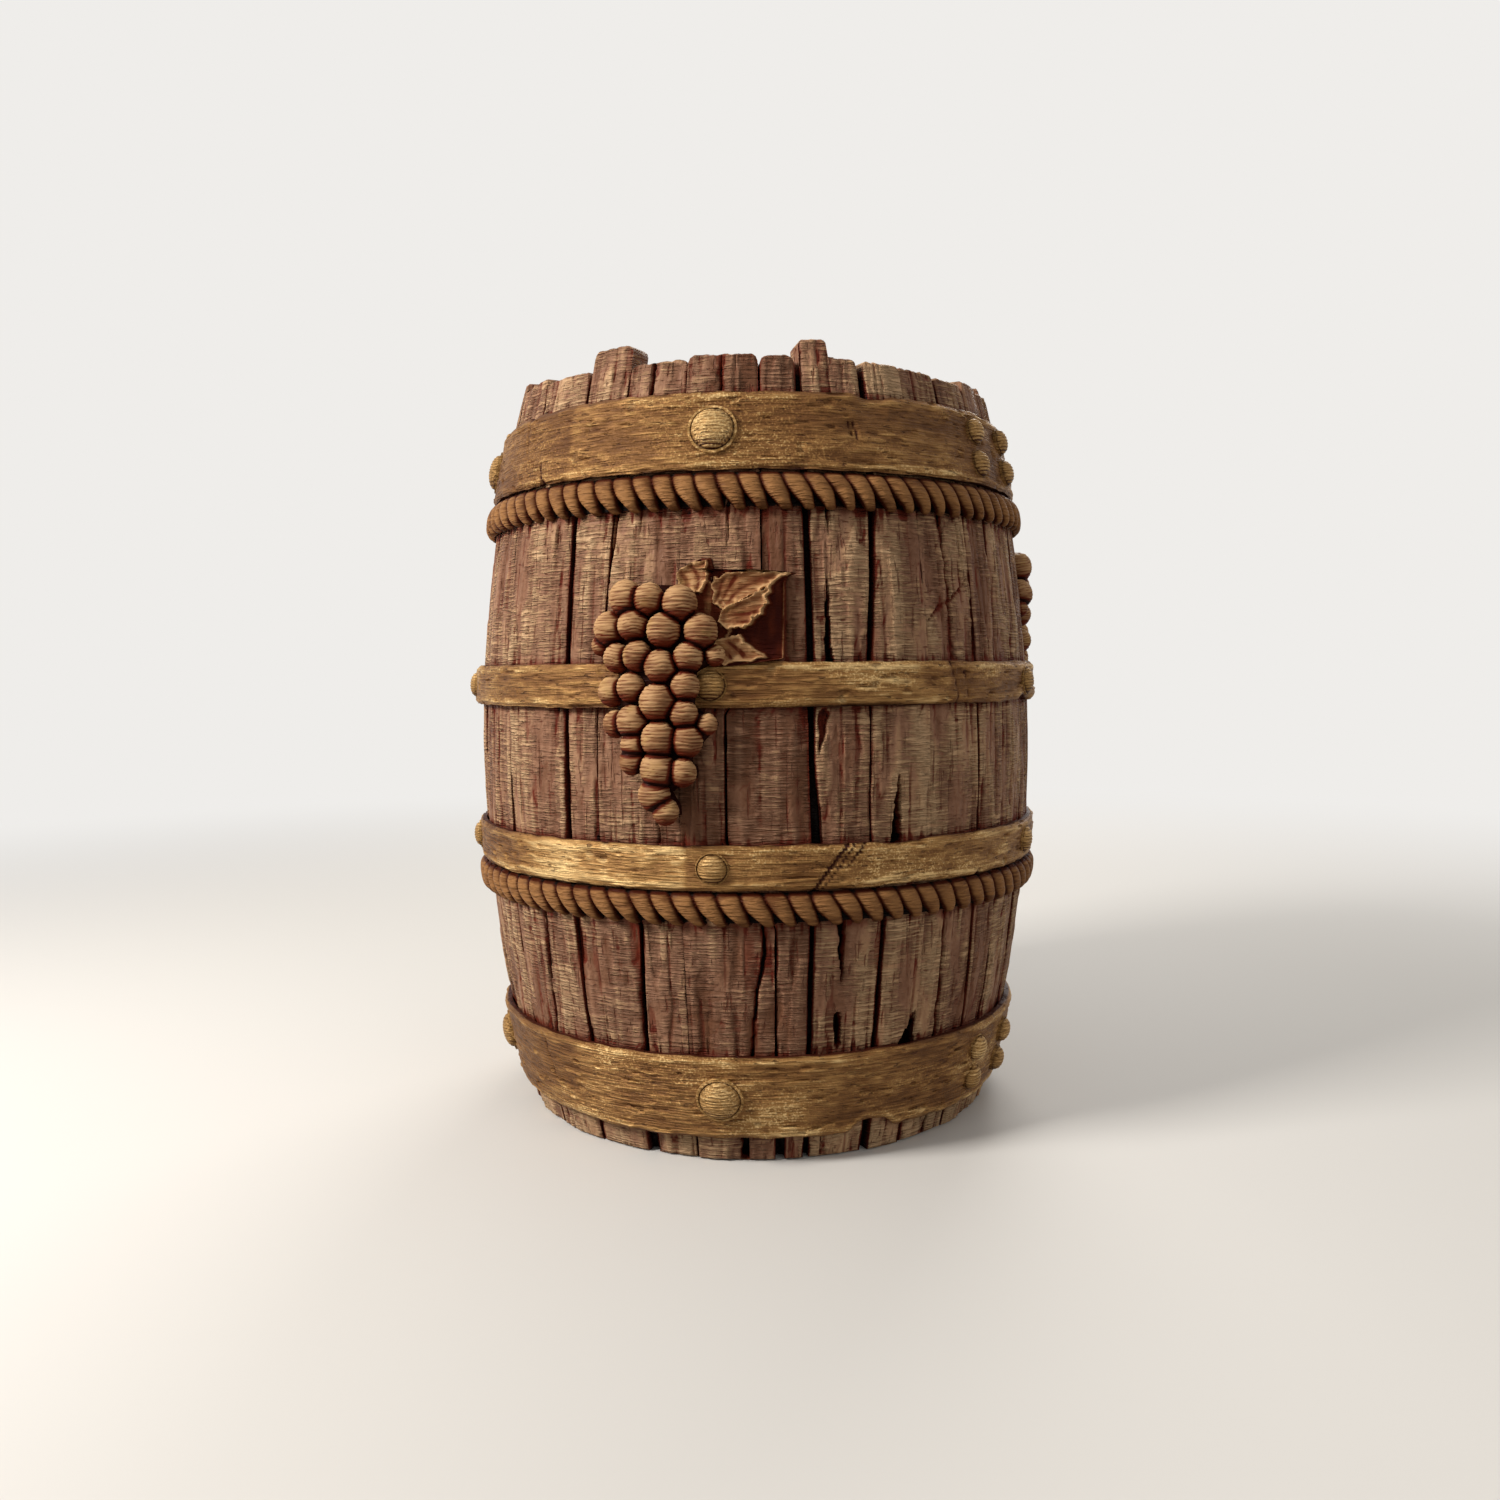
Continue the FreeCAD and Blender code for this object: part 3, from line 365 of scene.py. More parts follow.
def linked(name: str, data: bpy.types.ID) -> Object:
    """New object of the scene."""
    obj = bpy.data.objects.new(name, data)
    bpy.context.scene.collection.objects.link(obj)
    return obj


def aimed(obj: Object, right: Array, up: Array, place: Array) -> None:
    """Puts an object at a place in metres, its x along right and its y along up."""
    matrix = np.eye(4)
    matrix[:3] = np.stack([right, up, np.cross(right, up), place], axis=1)
    obj.matrix_world = Matrix(matrix.tolist())


def piece(
    look: str, node: str, shell: Shell, finish: "Finish", body: Body = Body.ROOT
) -> Object:
    """Object of a finished shell that stands for a CAD node.

    Args:
        look: What the piece's name has before the node's.
        node: The CAD node that it stands for.
        shell: Its closed surfaces.
        finish: Its finish.
        body: The body that it rides on.

    Returns:
        The object, riding on its body.
    """
    obj = linked(f"{look}_{node}", shell.mesh(f"{look}_{node}"))
    obj.data.materials.append(finish.material())
    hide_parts(node)
    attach(obj, body.value)
    LOG.info("%s: %d triangles", obj.name, shell.triangles())
    return obj


def dressed(node: str, finish: "Finish") -> None:
    """Gives a CAD node that stays in view its finish.

    Args:
        node: Name of the CAD node.
        finish: What it's made of.
    """
    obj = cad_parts[node]
    obj.data.materials.clear()
    obj.data.materials.append(finish.material())
    LOG.info("%s: CAD solid", node)


def mesh_points(mesh: bpy.types.Mesh) -> Array:
    """Points of a mesh in millimetres."""
    flat = np.zeros(len(mesh.vertices) * 3, np.float32)
    mesh.vertices.foreach_get("co", flat)
    return flat.reshape(-1, 3).astype(float) / METRES


# Finishes

def linear(hexed: str) -> tuple[float, float, float, float]:
    """Linear colour of an sRGB hex value: c / 12.92, or ((c + 0.055) / 1.055)^2.4."""
    parts = [int(hexed[k:k + 2], 16) / 255.0 for k in (1, 3, 5)]
    spread = [c / 12.92 if c <= 0.04045 else ((c + 0.055) / 1.055) ** 2.4 for c in parts]
    return (*spread, 1.0)


# What each kind of node takes in order, which output is read, and how it is set. Unless told
# otherwise, a Math node multiplies two values and adds the third, if there is one, and a
# MapRange node eases from 0 to 1 as its value goes from the second number to the third.
NODES = {
    "Attribute": ((), "Fac", {}),
    "Background": (("Color", "Strength"), "Background", {}),
    "Bump": (("Strength", "Distance", "Height"), "Normal", {}),
    "Emission": (("Color", "Strength"), "Emission", {}),
    "LightPath": ((), "Is Camera Ray", {}),
    "MapRange": (("Value", "From Min", "From Max"), "Result", {"interpolation_type": "SMOOTHSTEP"}),
    "Mapping": (("Vector", "Scale"), "Vector", {}),
    "Math": (("Value", "Value_001", "Value_002"), "Value", {"operation": "MULTIPLY_ADD"}),
    "Mix": (("Factor_Float", "A_Color", "B_Color"), "Result_Color",
            {"data_type": "RGBA", "clamp_factor": True}),
    "MixShader": (("Fac", "Shader", "Shader_001"), "Shader", {}),
    "TexCoord": ((), "Object", {}),
    "TexNoise": (("Vector", "Scale", "Detail", "Roughness", "Distortion"), "Fac", {}),
    "TexVoronoi": (("Vector", "Scale"), "Distance", {}),
    "ValToRGB": (("Fac",), "Color", {}),
    "VectorMath": (("Vector",), "Value", {}),
}
NOISE_ROUGHNESS = 0.55


@dataclass
class Recipe:
    """Node tree of a material or the world, that is filled from the textures to the output."""

    graph: bpy.types.NodeTree

    @cached_property
    def place(self) -> Socket:
        """The object's own coordinates, in metres."""
        return self.add("TexCoord")

    def add(
        self, kind: str, *values: object, output: str = "", stops: Stops = (), **settings: object
    ) -> Socket:
        """Adds a node with its settings and links.

        Args:
            kind: The node's type after "ShaderNode", as in NODES.
            values: For each input, in order, a number, an sRGB hex colour or a socket. An
                input that is left out is 0.
            output: The output that is read, where it isn't the usual one.
            stops: Places on a ramp and their colours.
            settings: Properties of the node.

        Returns:
            The output's socket.
        """
        inputs, usual, fixed = NODES[kind]
        node = self.graph.nodes.new("ShaderNode" + kind)
        for key, setting in {**fixed, **settings}.items():
            setattr(node, key, setting)
        sockets = {socket.identifier: socket for socket in node.inputs}
        for key, value in zip_longest(inputs, values, fillvalue=0.0):
            self.feed(sockets[key], value)
        for _ in stops[2:]:
            node.color_ramp.elements.new(0.5)
        for k, (position, hexed) in enumerate(stops):
            node.color_ramp.elements[k].position = position
            node.color_ramp.elements[k].color = linear(hexed)
        return next(socket for socket in node.outputs if socket.identifier == (output or usual))

    def feed(self, socket: Socket, value: object) -> None:
        """Links a socket, or sets it to a number or an sRGB hex colour.

        Args:
            socket: The input to fill.
            value: Another node's output, a number or a colour.
        """
        if isinstance(value, Socket):
            self.graph.links.new(value, socket)
        else:
            socket.default_value = linear(value) if isinstance(value, str) else value

    def shade(self, relief_mm: float, height: Socket | None, **looks: object) -> None:
        """Bumps the surface and sets the other inputs of the material's shader.

        Args:
            relief_mm: How high a height of 1 stands, or 0 where the surface is flat.
            height: Height at each point.
            looks: Values or sockets, by the names of the inputs in small letters.
        """
        if relief_mm:
            looks["normal"] = self.add("Bump", 1.0, relief_mm * METRES, height)
        for socket in self.graph.nodes["Principled BSDF"].inputs:
            name = socket.name.lower().replace(" ", "_")
            if name in looks:
                self.feed(socket, looks[name])

    def end(self, shader: Socket) -> None:
        """Links a shader to the tree's output."""
        output = next(node for node in self.graph.nodes if node.type.startswith("OUTPUT"))
        self.feed(output.inputs["Surface"], shader)

    def streaks(self, level_mm: float, upright_mm: float, detail: float = 2.0) -> Socket:
        """Noise from 0 to 1 whose grain has one size across and another upwards.

        Args:
            level_mm: Size of the grain across.
            upright_mm: Size of the grain upwards.
            detail: Layers of finer noise.

        Returns:
            The noise's socket.
        """
        scale = (1000.0 / level_mm, 1000.0 / level_mm, 1000.0 / upright_mm)
        moved = self.add("Mapping", self.place, scale)
        return self.add("TexNoise", moved, 1.0, detail, NOISE_ROUGHNESS)

    def layered(self, base: Socket, layers: tuple[tuple[Socket, float], ...]) -> Socket:
        """The base plus each layer times its weight.

        Args:
            base: Height that the layers are laid on.
            layers: Each layer's height and weight.

        Returns:
            The height of all of them together.
        """
        for layer, weight in layers:
            base = self.add("Math", layer, weight, base)
        return base


class Finish:
    """A finish makes its material once and hands it to every piece that has it."""

    made: dict[str, bpy.types.Material] = {}

    def material(self) -> bpy.types.Material:
        """The material, made at its first use.

        Returns:
            The one material of all finishes with these values.
        """
        key = repr(self)
        if key not in Finish.made:
            Finish.made[key] = bpy.data.materials.new(self.called)
            Finish.made[key].use_nodes = True
            self.lay(Recipe(Finish.made[key].node_tree))
        return Finish.made[key]

    def lay(self, tree: Recipe) -> None:
        """Fills the node tree."""
        raise NotImplementedError


@dataclass(frozen=True)
class GlazedOak(Finish):
    """Oak staves, riven and adzed, glazed red-brown and dry-brushed with a pale tan.

    The eye sees a warm brown clouded with tan, fine level tool lines in patches, and dark
    red glaze that has run down in streaks and gathered in every crack and joint. Painted
    shade is laid with the glaze beside the hoops and ropes and on the joints' sides, and
    the deepest cracks and joints go to a painted near-black. Each pattern's size is in
    millimetres, across and upwards. Real oak pores are too fine to show, so the grain is
    drawn about five times as coarse.
    """

    glaze: str = "#602213"
    deep: str = "#0e0402"
    # Near-black painted shade for the deepest cracks and joints, laid over the glaze
    smear: str = "#6c3523"
    grain: Size = (2.2, 30.0)
    tool_lines: Size = (10.0, 0.75)
    hewn: Size = (10.0, 22.0)
    patches: Size = (20.0, 46.0)
    smears: Size = (1.5, 26.0)
    chips: Size = (2.0, 2.0)
    nicks: Size = (5.0, 0.9)
    relief_mm: float = 0.6
    called: str = "glazed_riven_oak"

    def lay(self, tree: Recipe) -> None:
        """Mixes patches, tool lines and grain into a ramp, then smears and fills with glaze.

        Args:
            tree: Recipe of the material to fill in.
        """
        grain = tree.streaks(*self.grain)
        lines = tree.add("MapRange", tree.streaks(*self.tool_lines), 0.36, 0.64)
        patches = tree.streaks(*self.patches, 3.0)
        smears = tree.streaks(*self.smears, 3.0)
        chips = tree.streaks(*self.chips)
        nicks = tree.add("MapRange", tree.streaks(*self.nicks, 1.0), 0.68, 0.76)
        hewn = tree.add("MapRange", tree.streaks(*self.hewn), 0.34, 0.56)
        lines = tree.add("Math", lines, hewn)
        hollow = tree.add("Attribute", attribute_name="hollow")
        ridge = tree.add("Attribute", attribute_name="ridge")
        share = tree.layered(tree.add("Attribute", attribute_name="tone"), (
            (ridge, 0.42), (grain, 0.14), (lines, 0.27), (patches, 0.9), (chips, 0.3),
        ))
        wood = tree.add("ValToRGB", tree.add("MapRange", share, 0.56, 1.44), stops=(
            (0.0, "#67432f"), (0.3, "#835d47"), (0.55, "#966f56"), (0.8, "#aa8463"), (1.0, "#c6a27c"),
        ))
        run = tree.add("Math", tree.add("MapRange", smears, 0.6, 0.7), 0.7)
        nicks = tree.add("Math", nicks, 0.7)
        run = tree.add("Math", run, nicks, operation="MAXIMUM")
        wood = tree.add("Mix", run, wood, self.smear)
        # Red glaze, and painted shade where the glaze mark carries it
        filled = tree.add("Math", lines, -0.12, tree.add("Math", hollow, -0.02, operation="ADD"))
        wood = tree.add("Mix", tree.add("MapRange", filled, 0.06, 0.62), wood, self.glaze)
        # Painted shade: the highest marks, in deep cracks and joint sides, go to near black
        wood = tree.add("Mix", tree.add("MapRange", hollow, 0.7, 1.1), wood, self.deep)
        chips = tree.add("Math", chips, 0.8)
        height = tree.layered(chips, ((lines, 1.8), (grain, 0.6), (run, -1.3)))
        gloss = tree.add("Math", lines, 0.12, 0.54)
        tree.shade(self.relief_mm, height, base_color=wood, roughness=gloss, specular_ior_level=0.1)


@dataclass(frozen=True)
class GoldRubbedIron(Finish):
    """Wrought-iron strap, hammered and hewn, painted with antique gold and rubbed brown.

    The eye sees a dull satin gold that gleams on the high facets and along the lips, brown
    in the tool marks, and a red-brown line where the glaze has run under the edges. Each
    pattern's size is in millimetres, across and upwards. The gold's flakes are drawn many
    times as coarse as real ones, so that they show.
    """

    gold: str = "#a87f4c"
    bronze: str = "#835b33"
    brown: str = "#5a371c"
    bright: str = "#dbba82"
    glaze: str = "#3d170b"
    tool_marks: Size = (13.0, 0.8)
    patches: Size = (50.0, 22.0)
    flakes: Size = (0.8, 0.8)
    nicks: Size = (4.5, 0.8)
    relief_mm: float = 0.6
    called: str = "gold_rubbed_wrought_iron"

    def lay(self, tree: Recipe) -> None:
        """Ramps tool marks and patches from brown to gold, with painted glints on the flakes on top.

        Args:
            tree: Recipe of the material to fill in.
        """
        flakes = tree.streaks(*self.flakes, 1.0)
        nicks = tree.add("MapRange", tree.streaks(*self.nicks, 1.0), 0.66, 0.73)
        marks = tree.add("MapRange", tree.streaks(*self.tool_marks), 0.3, 0.7)
        rubbed = tree.add("MapRange", tree.streaks(*self.patches, 3.0), 0.36, 0.68)
        # Painted glints: paler gold laid where flakes lie in the rubbed patches, as sparkle
        glints = tree.add("Math", tree.add("MapRange", flakes, 0.5, 0.66), rubbed)
        share = tree.add("Math", tree.add("Attribute", attribute_name="ridge"), 0.5)
        share = tree.layered(share, ((marks, 0.18), (rubbed, 0.2), (glints, 0.3)))
        share = tree.add("MapRange", share, 0.0, 1.0)
        paint = tree.add("ValToRGB", share, stops=(
            (0.0, self.brown), (0.35, self.bronze), (0.7, self.gold), (1.0, self.bright),
        ))
        sunk = tree.add("MapRange", tree.add("Attribute", attribute_name="hollow"), 0.15, 0.95)
        glazed = tree.add("Math", nicks, 0.55)
        sunk = tree.add("Math", sunk, glazed, operation="MAXIMUM")
        bare = tree.add("Math", 1.0, sunk, operation="SUBTRACT")
        shine = tree.add("Math", tree.add("Math", share, 0.4, 0.1), bare)
        height = tree.layered(marks, ((flakes, 0.35), (nicks, -1.4)))
        tree.shade(
            self.relief_mm, height, base_color=tree.add("Mix", sunk, paint, self.glaze),
            metallic=shine, roughness=tree.add("Math", flakes, 0.24, 0.42), specular_ior_level=0.15,
        )


@dataclass(frozen=True)
class StainedCarving(Finish):
    """Carved limewood or laid rope, stained and dry-brushed.

    The eye sees a warm matt tan with fine level lines, paler on what stands out and a deep
    red-brown in the hollows between the forms. That red-brown is partly stain and partly
    painted shade, going near black in the narrowest gaps and undersides, and some of the
    pale is a painted highlight on tops and lips. The gouge's lines are drawn a little over a
    millimetre apart, about twice as coarse as real ones, so that they show.
    """

    pale: str
    middle: str
    dark: str
    glaze: str
    # Near-black or dark red painted shade for the narrowest gaps and the undersides
    deep: str
    line_mm: float = 1.1
    line_length_mm: float = 12.0
    relief_mm: float = 0.34
    gold_dabs: float = 0.0
    gold: str = "#bd9a5e"
    called: str = "stained_carved_limewood"

    def lay(self, tree: Recipe) -> None:
        """Ramps level lines and patches from dark to pale, and stains the hollows.

        Args:
            tree: Recipe of the material to fill in.
        """
        lines = tree.add("MapRange", tree.streaks(self.line_length_mm, self.line_mm), 0.3, 0.7)
        patches = tree.streaks(14.0, 10.0)
        hollow = tree.add("Attribute", attribute_name="hollow")
        share = tree.add("Math", tree.add("Attribute", attribute_name="ridge"), 0.6)
        share = tree.add("MapRange", tree.layered(share, ((lines, 0.26), (patches, 0.6))), 0.3, 1.15)
        stops = ((0.0, self.dark), (0.5, self.middle), (0.95, self.pale))
        stain = tree.add("ValToRGB", share, stops=stops)
        if self.gold_dabs:
            dabs = tree.add("MapRange", tree.streaks(9.0, 7.0), 0.56, 0.7)
            dabbed = tree.add("Math", dabs, self.gold_dabs)
            stain = tree.add("Mix", dabbed, stain, self.gold)
        # Glaze, then painted shade where the glaze mark is highest
        stain = tree.add("Mix", tree.add("MapRange", hollow, 0.08, 0.55), stain, self.glaze)
        stain = tree.add("Mix", tree.add("MapRange", hollow, 0.5, 1.0), stain, self.deep)
        gloss = tree.add("Math", lines, 0.12, 0.46)
        tree.shade(self.relief_mm, lines, base_color=stain, roughness=gloss, specular_ior_level=0.05)


@dataclass(frozen=True)
class PlanedPine(Finish):
    """Pine boards, planed and oiled.

    The eye sees long growth lines along the board, a few darker bands and a dull sheen.
    """

    light: str = "#b08a63"
    late: str = "#7f5638"
    ring_mm: float = 2.6
    along: Triple = (1.0, 0.06, 1.0)
    called: str = "planed_oiled_pine"
    early: str = "#99714d"

    def lay(self, tree: Recipe) -> None:
        """Stretches noise along the board and sharpens it into growth lines.

        Args:
            tree: Recipe of the material to fill in.
        """
        scale = tuple(1000.0 / self.ring_mm * part for part in self.along)
        rings = tree.add("TexNoise", tree.add("Mapping", tree.place, scale), 1.0, 3.0, 0.5, 0.6)
        share = tree.add("Math", tree.streaks(30.0, 30.0), 0.5, tree.add("Math", rings, 0.9))
        stops = ((0.0, self.late), (0.45, self.early), (1.0, self.light))
        wood = tree.add("ValToRGB", tree.add("MapRange", share, 0.45, 0.95), stops=stops)
        tree.shade(0.15, rings, base_color=wood, roughness=tree.add("Math", rings, 0.2, 0.42))


@dataclass(frozen=True)
class Moulded(Finish):
    """Injection-moulded plastic or rubber with a fine spark-eroded texture.

    The eye sees one even colour, slightly clouded, with a soft broad highlight. Real grit is
    finer than a tenth of a millimetre, and is drawn five times as coarse.
    """

    colour: str
    clouded: str
    gloss: float
    called: str
    grit_mm: float = 0.5

    def lay(self, tree: Recipe) -> None:
        """Clouds the colour a little and roughens the surface by its grit.

        Args:
            tree: Recipe of the material to fill in.
        """
        clouds = tree.streaks(9.0, 9.0)
        grit = tree.streaks(self.grit_mm, self.grit_mm)
        colour = tree.add("Mix", clouds, self.colour, self.clouded)
        gloss = tree.add("Math", grit, 0.16, self.gloss - 0.06)
        tree.shade(0.03, grit, base_color=colour, roughness=gloss)


@dataclass(frozen=True)
class TurnedMetal(Finish):
    """Metal turned on a lathe or drawn into wire, dulled by handling.

    The eye sees the bare metal's own colour with fine lines and soft stains. Real lines are
    about a tenth of a millimetre apart, and are drawn four times as coarse.
    """

    colour: str
    stained: str
    dull: float
    called: str

    def lay(self, tree: Recipe) -> None:
        """Stains the metal in patches and varies its gloss by fine lines.

        Args:
            tree: Recipe of the material to fill in.
        """
        stains = tree.streaks(6.0, 6.0)
        lines = tree.streaks(5.0, 0.4)
        colour = tree.add("Mix", stains, self.colour, self.stained)
        gloss = tree.add("Math", lines, 0.2, self.dull - 0.08)
        tree.shade(0.04, lines, base_color=colour, roughness=gloss, metallic=1.0)


@dataclass(frozen=True)
class MetallisedFilm(Finish):
    """Polyester film with a vapour-laid metal coat, welded into a bag.

    The eye sees crinkled silver with sharp small creases and bright soft reflections.
    """

    colour: str = "#c9ccd0"
    dulled: str = "#aeb2b8"
    crease_mm: float = 7.0
    called: str = "metallised_polyester_film"

    def lay(self, tree: Recipe) -> None:
        """Creases the film with a cell pattern and dulls it slightly in patches.

        Args:
            tree: Recipe of the material to fill in.
        """
        pitch = 1000.0 / self.crease_mm
        cells = tree.add("TexVoronoi", tree.place, pitch, feature="DISTANCE_TO_EDGE")
        cloud = tree.streaks(20.0, 20.0)
        colour = tree.add("Mix", cloud, self.colour, self.dulled)
        gloss = tree.add("Math", cloud, 0.2, 0.2)
        flat = tree.add("MapRange", cells, 0.0, 0.25)
        tree.shade(0.5, flat, base_color=colour, roughness=gloss, metallic=0.9)


STAVE_OAK = GlazedOak()
BRIGHT_STEEL = TurnedMetal("#b9babb", "#8e8f90", 0.28, "drawn_stainless_steel")
HOOP_GOLD = GoldRubbedIron()
RIVET_GOLD = GoldRubbedIron(
    gold="#b38b57", bronze="#94703f", brown="#6f4b2a", tool_marks=(6.0, 0.8),
    called="gold_rubbed_forged_iron",
)
# Its near-black is painted shade for the gaps between the strands
ROPE_STAIN = StainedCarving(
    "#976b42", "#6b4529", "#44270f", "#42190b", "#0a0301", 0.9, 6.0, 0.5, called="stained_laid_hemp",
)
GRAPE_STAIN = StainedCarving(
    "#bd9469", "#875e3f", "#55311e", "#5e2212", "#1d0603", 1.1, 8.0, 0.2, gold_dabs=0.3,
)
LEAF_STAIN = StainedCarving(
    "#c39a6d", "#8f603e", "#663722", "#54200f", "#381009", 1.1, 7.0, gold_dabs=0.3,
)


# Cracks and dents

@dataclass(frozen=True)
class Crack:
    """Straight split between two points of the skin, with a width at each end."""

    azimuth: float
    height: float
    width: float
    end_azimuth: float
    end_height: float
    end_width: float
    depth: float

    def cut(self, azimuth: Array, height: Array, seed: int) -> Array:
        """Depth of the split at each point.

        The split's line wavers by noise. Its depth is full within half the local width of
        the line, eased off over 0.7 mm, and less where the split is under 0.8 mm wide.

        Args:
            azimuth: Azimuth of each point.
            height: Height of each point.
            seed: Picks the wavering.

        Returns:
            The depth in millimetres.
        """
        start = np.array([self.azimuth * DEGREE, self.height])
        run = np.array([self.end_azimuth * DEGREE, self.end_height]) - start
        across = azimuth * DEGREE - start[0]
        up = height - start[1]
        share = unit((across * run[0] + up * run[1]) / (run @ run))
        waver = 0.35 * noise(height / 5.0, 0.0, seed) + 0.2 * noise(height / 1.9, 0.0, seed + 1)
        away = np.hypot(across + waver - share * run[0], up - share * run[1])
        width = self.width + share * (self.end_width - self.width)
        return self.depth * smooth((width / 2 + 0.35 - away) / 0.7) * np.clip(width / 0.8, 0.15, 1.0)


def seen(start: Triple, end: Triple, depth: float) -> Crack:
    """Crack whose ends have an angle from the photograph's middle, a height and a width."""
    ends = ((SEEN_AZIMUTH + angle, height - PHOTO_FLOOR, width) for angle, height, width in (start, end))
    return Crack(*next(ends), *next(ends), depth)


# Splits that the photograph shows, as angle, height and width at each end, and depth. They
# come in five bands, from the rim down to the foot.
SEEN_CRACKS = [seen(row[:3], row[3:6], row[6]) for row in [
    (-46.5, 291, 0.7, -46.8, 270, 0.7, 0.6),
    (-20.8, 291, 1.6, -21.2, 270, 1.6, 2.2),
    (-6.2, 292, 0.9, -6.3, 270, 0.9, 1.2), (-3.3, 292, 0.6, -3.6, 270, 0.6, 0.7),
    (27.0, 291, 0.6, 27.3, 270, 0.6, 0.5), (36.4, 290, 0.7, 36.6, 270, 0.7, 0.7),
    (48.6, 290, 0.8, 48.9, 270, 0.8, 0.9),
    (-63.0, 234, 0.7, -62.2, 183, 0.7, 0.7), (-48.0, 234, 1.0, -48.3, 183, 1.0, 0.45),
    (-40.8, 232, 0.9, -41.0, 216, 0.4, 1.2), (-26.2, 236, 1.1, -27.4, 210, 0.8, 1.6),
    (-21.1, 236, 0.8, -21.2, 218, 0.3, 1.0), (-4.6, 236, 0.9, -4.6, 219, 0.4, 1.3),
    (-8.8, 236, 0.6, -9.0, 222, 0.3, 0.6), (13.7, 236, 1.1, 13.7, 226, 0.3, 2.4),
    (12.8, 211, 0.1, 12.95, 181, 2.7, 5.5), (38.5, 234, 1.5, 39.2, 183, 1.6, 1.7),
    (44.3, 211, 1.0, 40.3, 205, 1.3, 1.5), (40.3, 205, 1.4, 36.3, 201, 1.4, 1.5),
    (36.3, 201, 1.3, 33.0, 196, 0.8, 1.5), (48.3, 234, 0.6, 48.5, 183, 0.6, 0.7),
    (60.5, 232, 0.7, 60.9, 185, 0.7, 0.8), (27.6, 234, 0.4, 27.6, 214, 0.3, 0.4),
    (-63.3, 164, 0.7, -63.0, 118, 0.7, 0.8), (-43.0, 150, 0.8, -43.1, 138, 0.3, 0.8),
    (-28.6, 162, 0.6, -28.7, 126, 0.5, 0.8), (-17.4, 129, 0.8, -17.4, 117, 0.8, 1.2),
    (11.8, 164, 4.0, 10.9, 150, 0.1, 1.9),
    (36.6, 226, 0.9, 37.0, 196, 0.8, 0.8), (43.2, 232, 1.0, 43.5, 212, 0.8, 0.9),
    (45.3, 204, 0.8, 45.6, 183, 1.0, 0.9), (50.2, 232, 0.8, 50.0, 183, 0.7, 0.7),
    (39.5, 196, 0.8, 39.4, 183, 0.9, 0.8), (58.0, 232, 0.8, 58.3, 200, 0.7, 0.7),
    (29.5, 150, 0.5, 29.8, 120, 0.5, 0.5), (52.0, 160, 0.8, 52.2, 124, 0.8, 0.8),
    (44.5, 136, 0.8, 44.8, 119, 0.8, 0.8), (47.5, 90, 0.7, 48.2, 60, 0.8, 0.8),
    (52.5, 88, 0.8, 53.0, 44, 0.8, 0.8), (35.0, 88, 0.5, 35.3, 50, 0.5, 0.6),
    (25.4, 144, 0.1, 25.35, 119, 3.9, 5.5), (43.6, 147, 0.8, 43.6, 142, 0.4, 1.0),
    (-22.6, 164, 0.5, -22.8, 134, 0.4, 0.6), (37.4, 162, 0.5, 37.6, 120, 0.5, 0.6),
    (59.5, 160, 0.6, 59.9, 122, 0.6, 0.8), (-66.5, 92, 0.6, -66.9, 44, 0.6, 0.7),
    (-44.7, 92, 1.3, -46.5, 42, 1.6, 2.4),
    (0.9, 92, 1.1, 1.1, 81, 1.1, 2.2), (1.1, 81, 1.1, 0.2, 71, 1.1, 2.2),
    (0.2, 71, 1.1, -0.8, 58, 1.1, 2.2), (-0.8, 58, 1.1, -1.3, 42, 1.2, 2.2),
    (15.2, 92, 2.8, 15.6, 68, 0.1, 5.0), (15.3, 57, 2.4, 15.3, 47, 2.4, 5.0),
    (31.8, 56, 0.1, 30.7, 43, 7.6, 6.0), (37.9, 92, 1.6, 38.7, 42, 1.8, 2.6),
    (27.4, 90, 0.5, 27.7, 66, 0.4, 0.6), (-30.6, 90, 0.6, -30.9, 44, 0.6, 0.6),
    (-9.4, 60, 0.6, -9.6, 44, 0.6, 0.7), (59.6, 92, 0.8, 60.6, 44, 0.9, 1.0),
    (-3.1, 16, 2.4, -3.1, 0, 3.2, 6.0),
    (40.4, 14, 1.2, 40.4, 0, 1.6, 3.0), (13.2, 12, 0.7, 13.2, 0, 0.9, 1.2),
]]

# Heights at the hoops' edges and ropes, where most joints are given
LEVELS = [6, 42, 88, 118, 162, 182, 231, 270, 290]

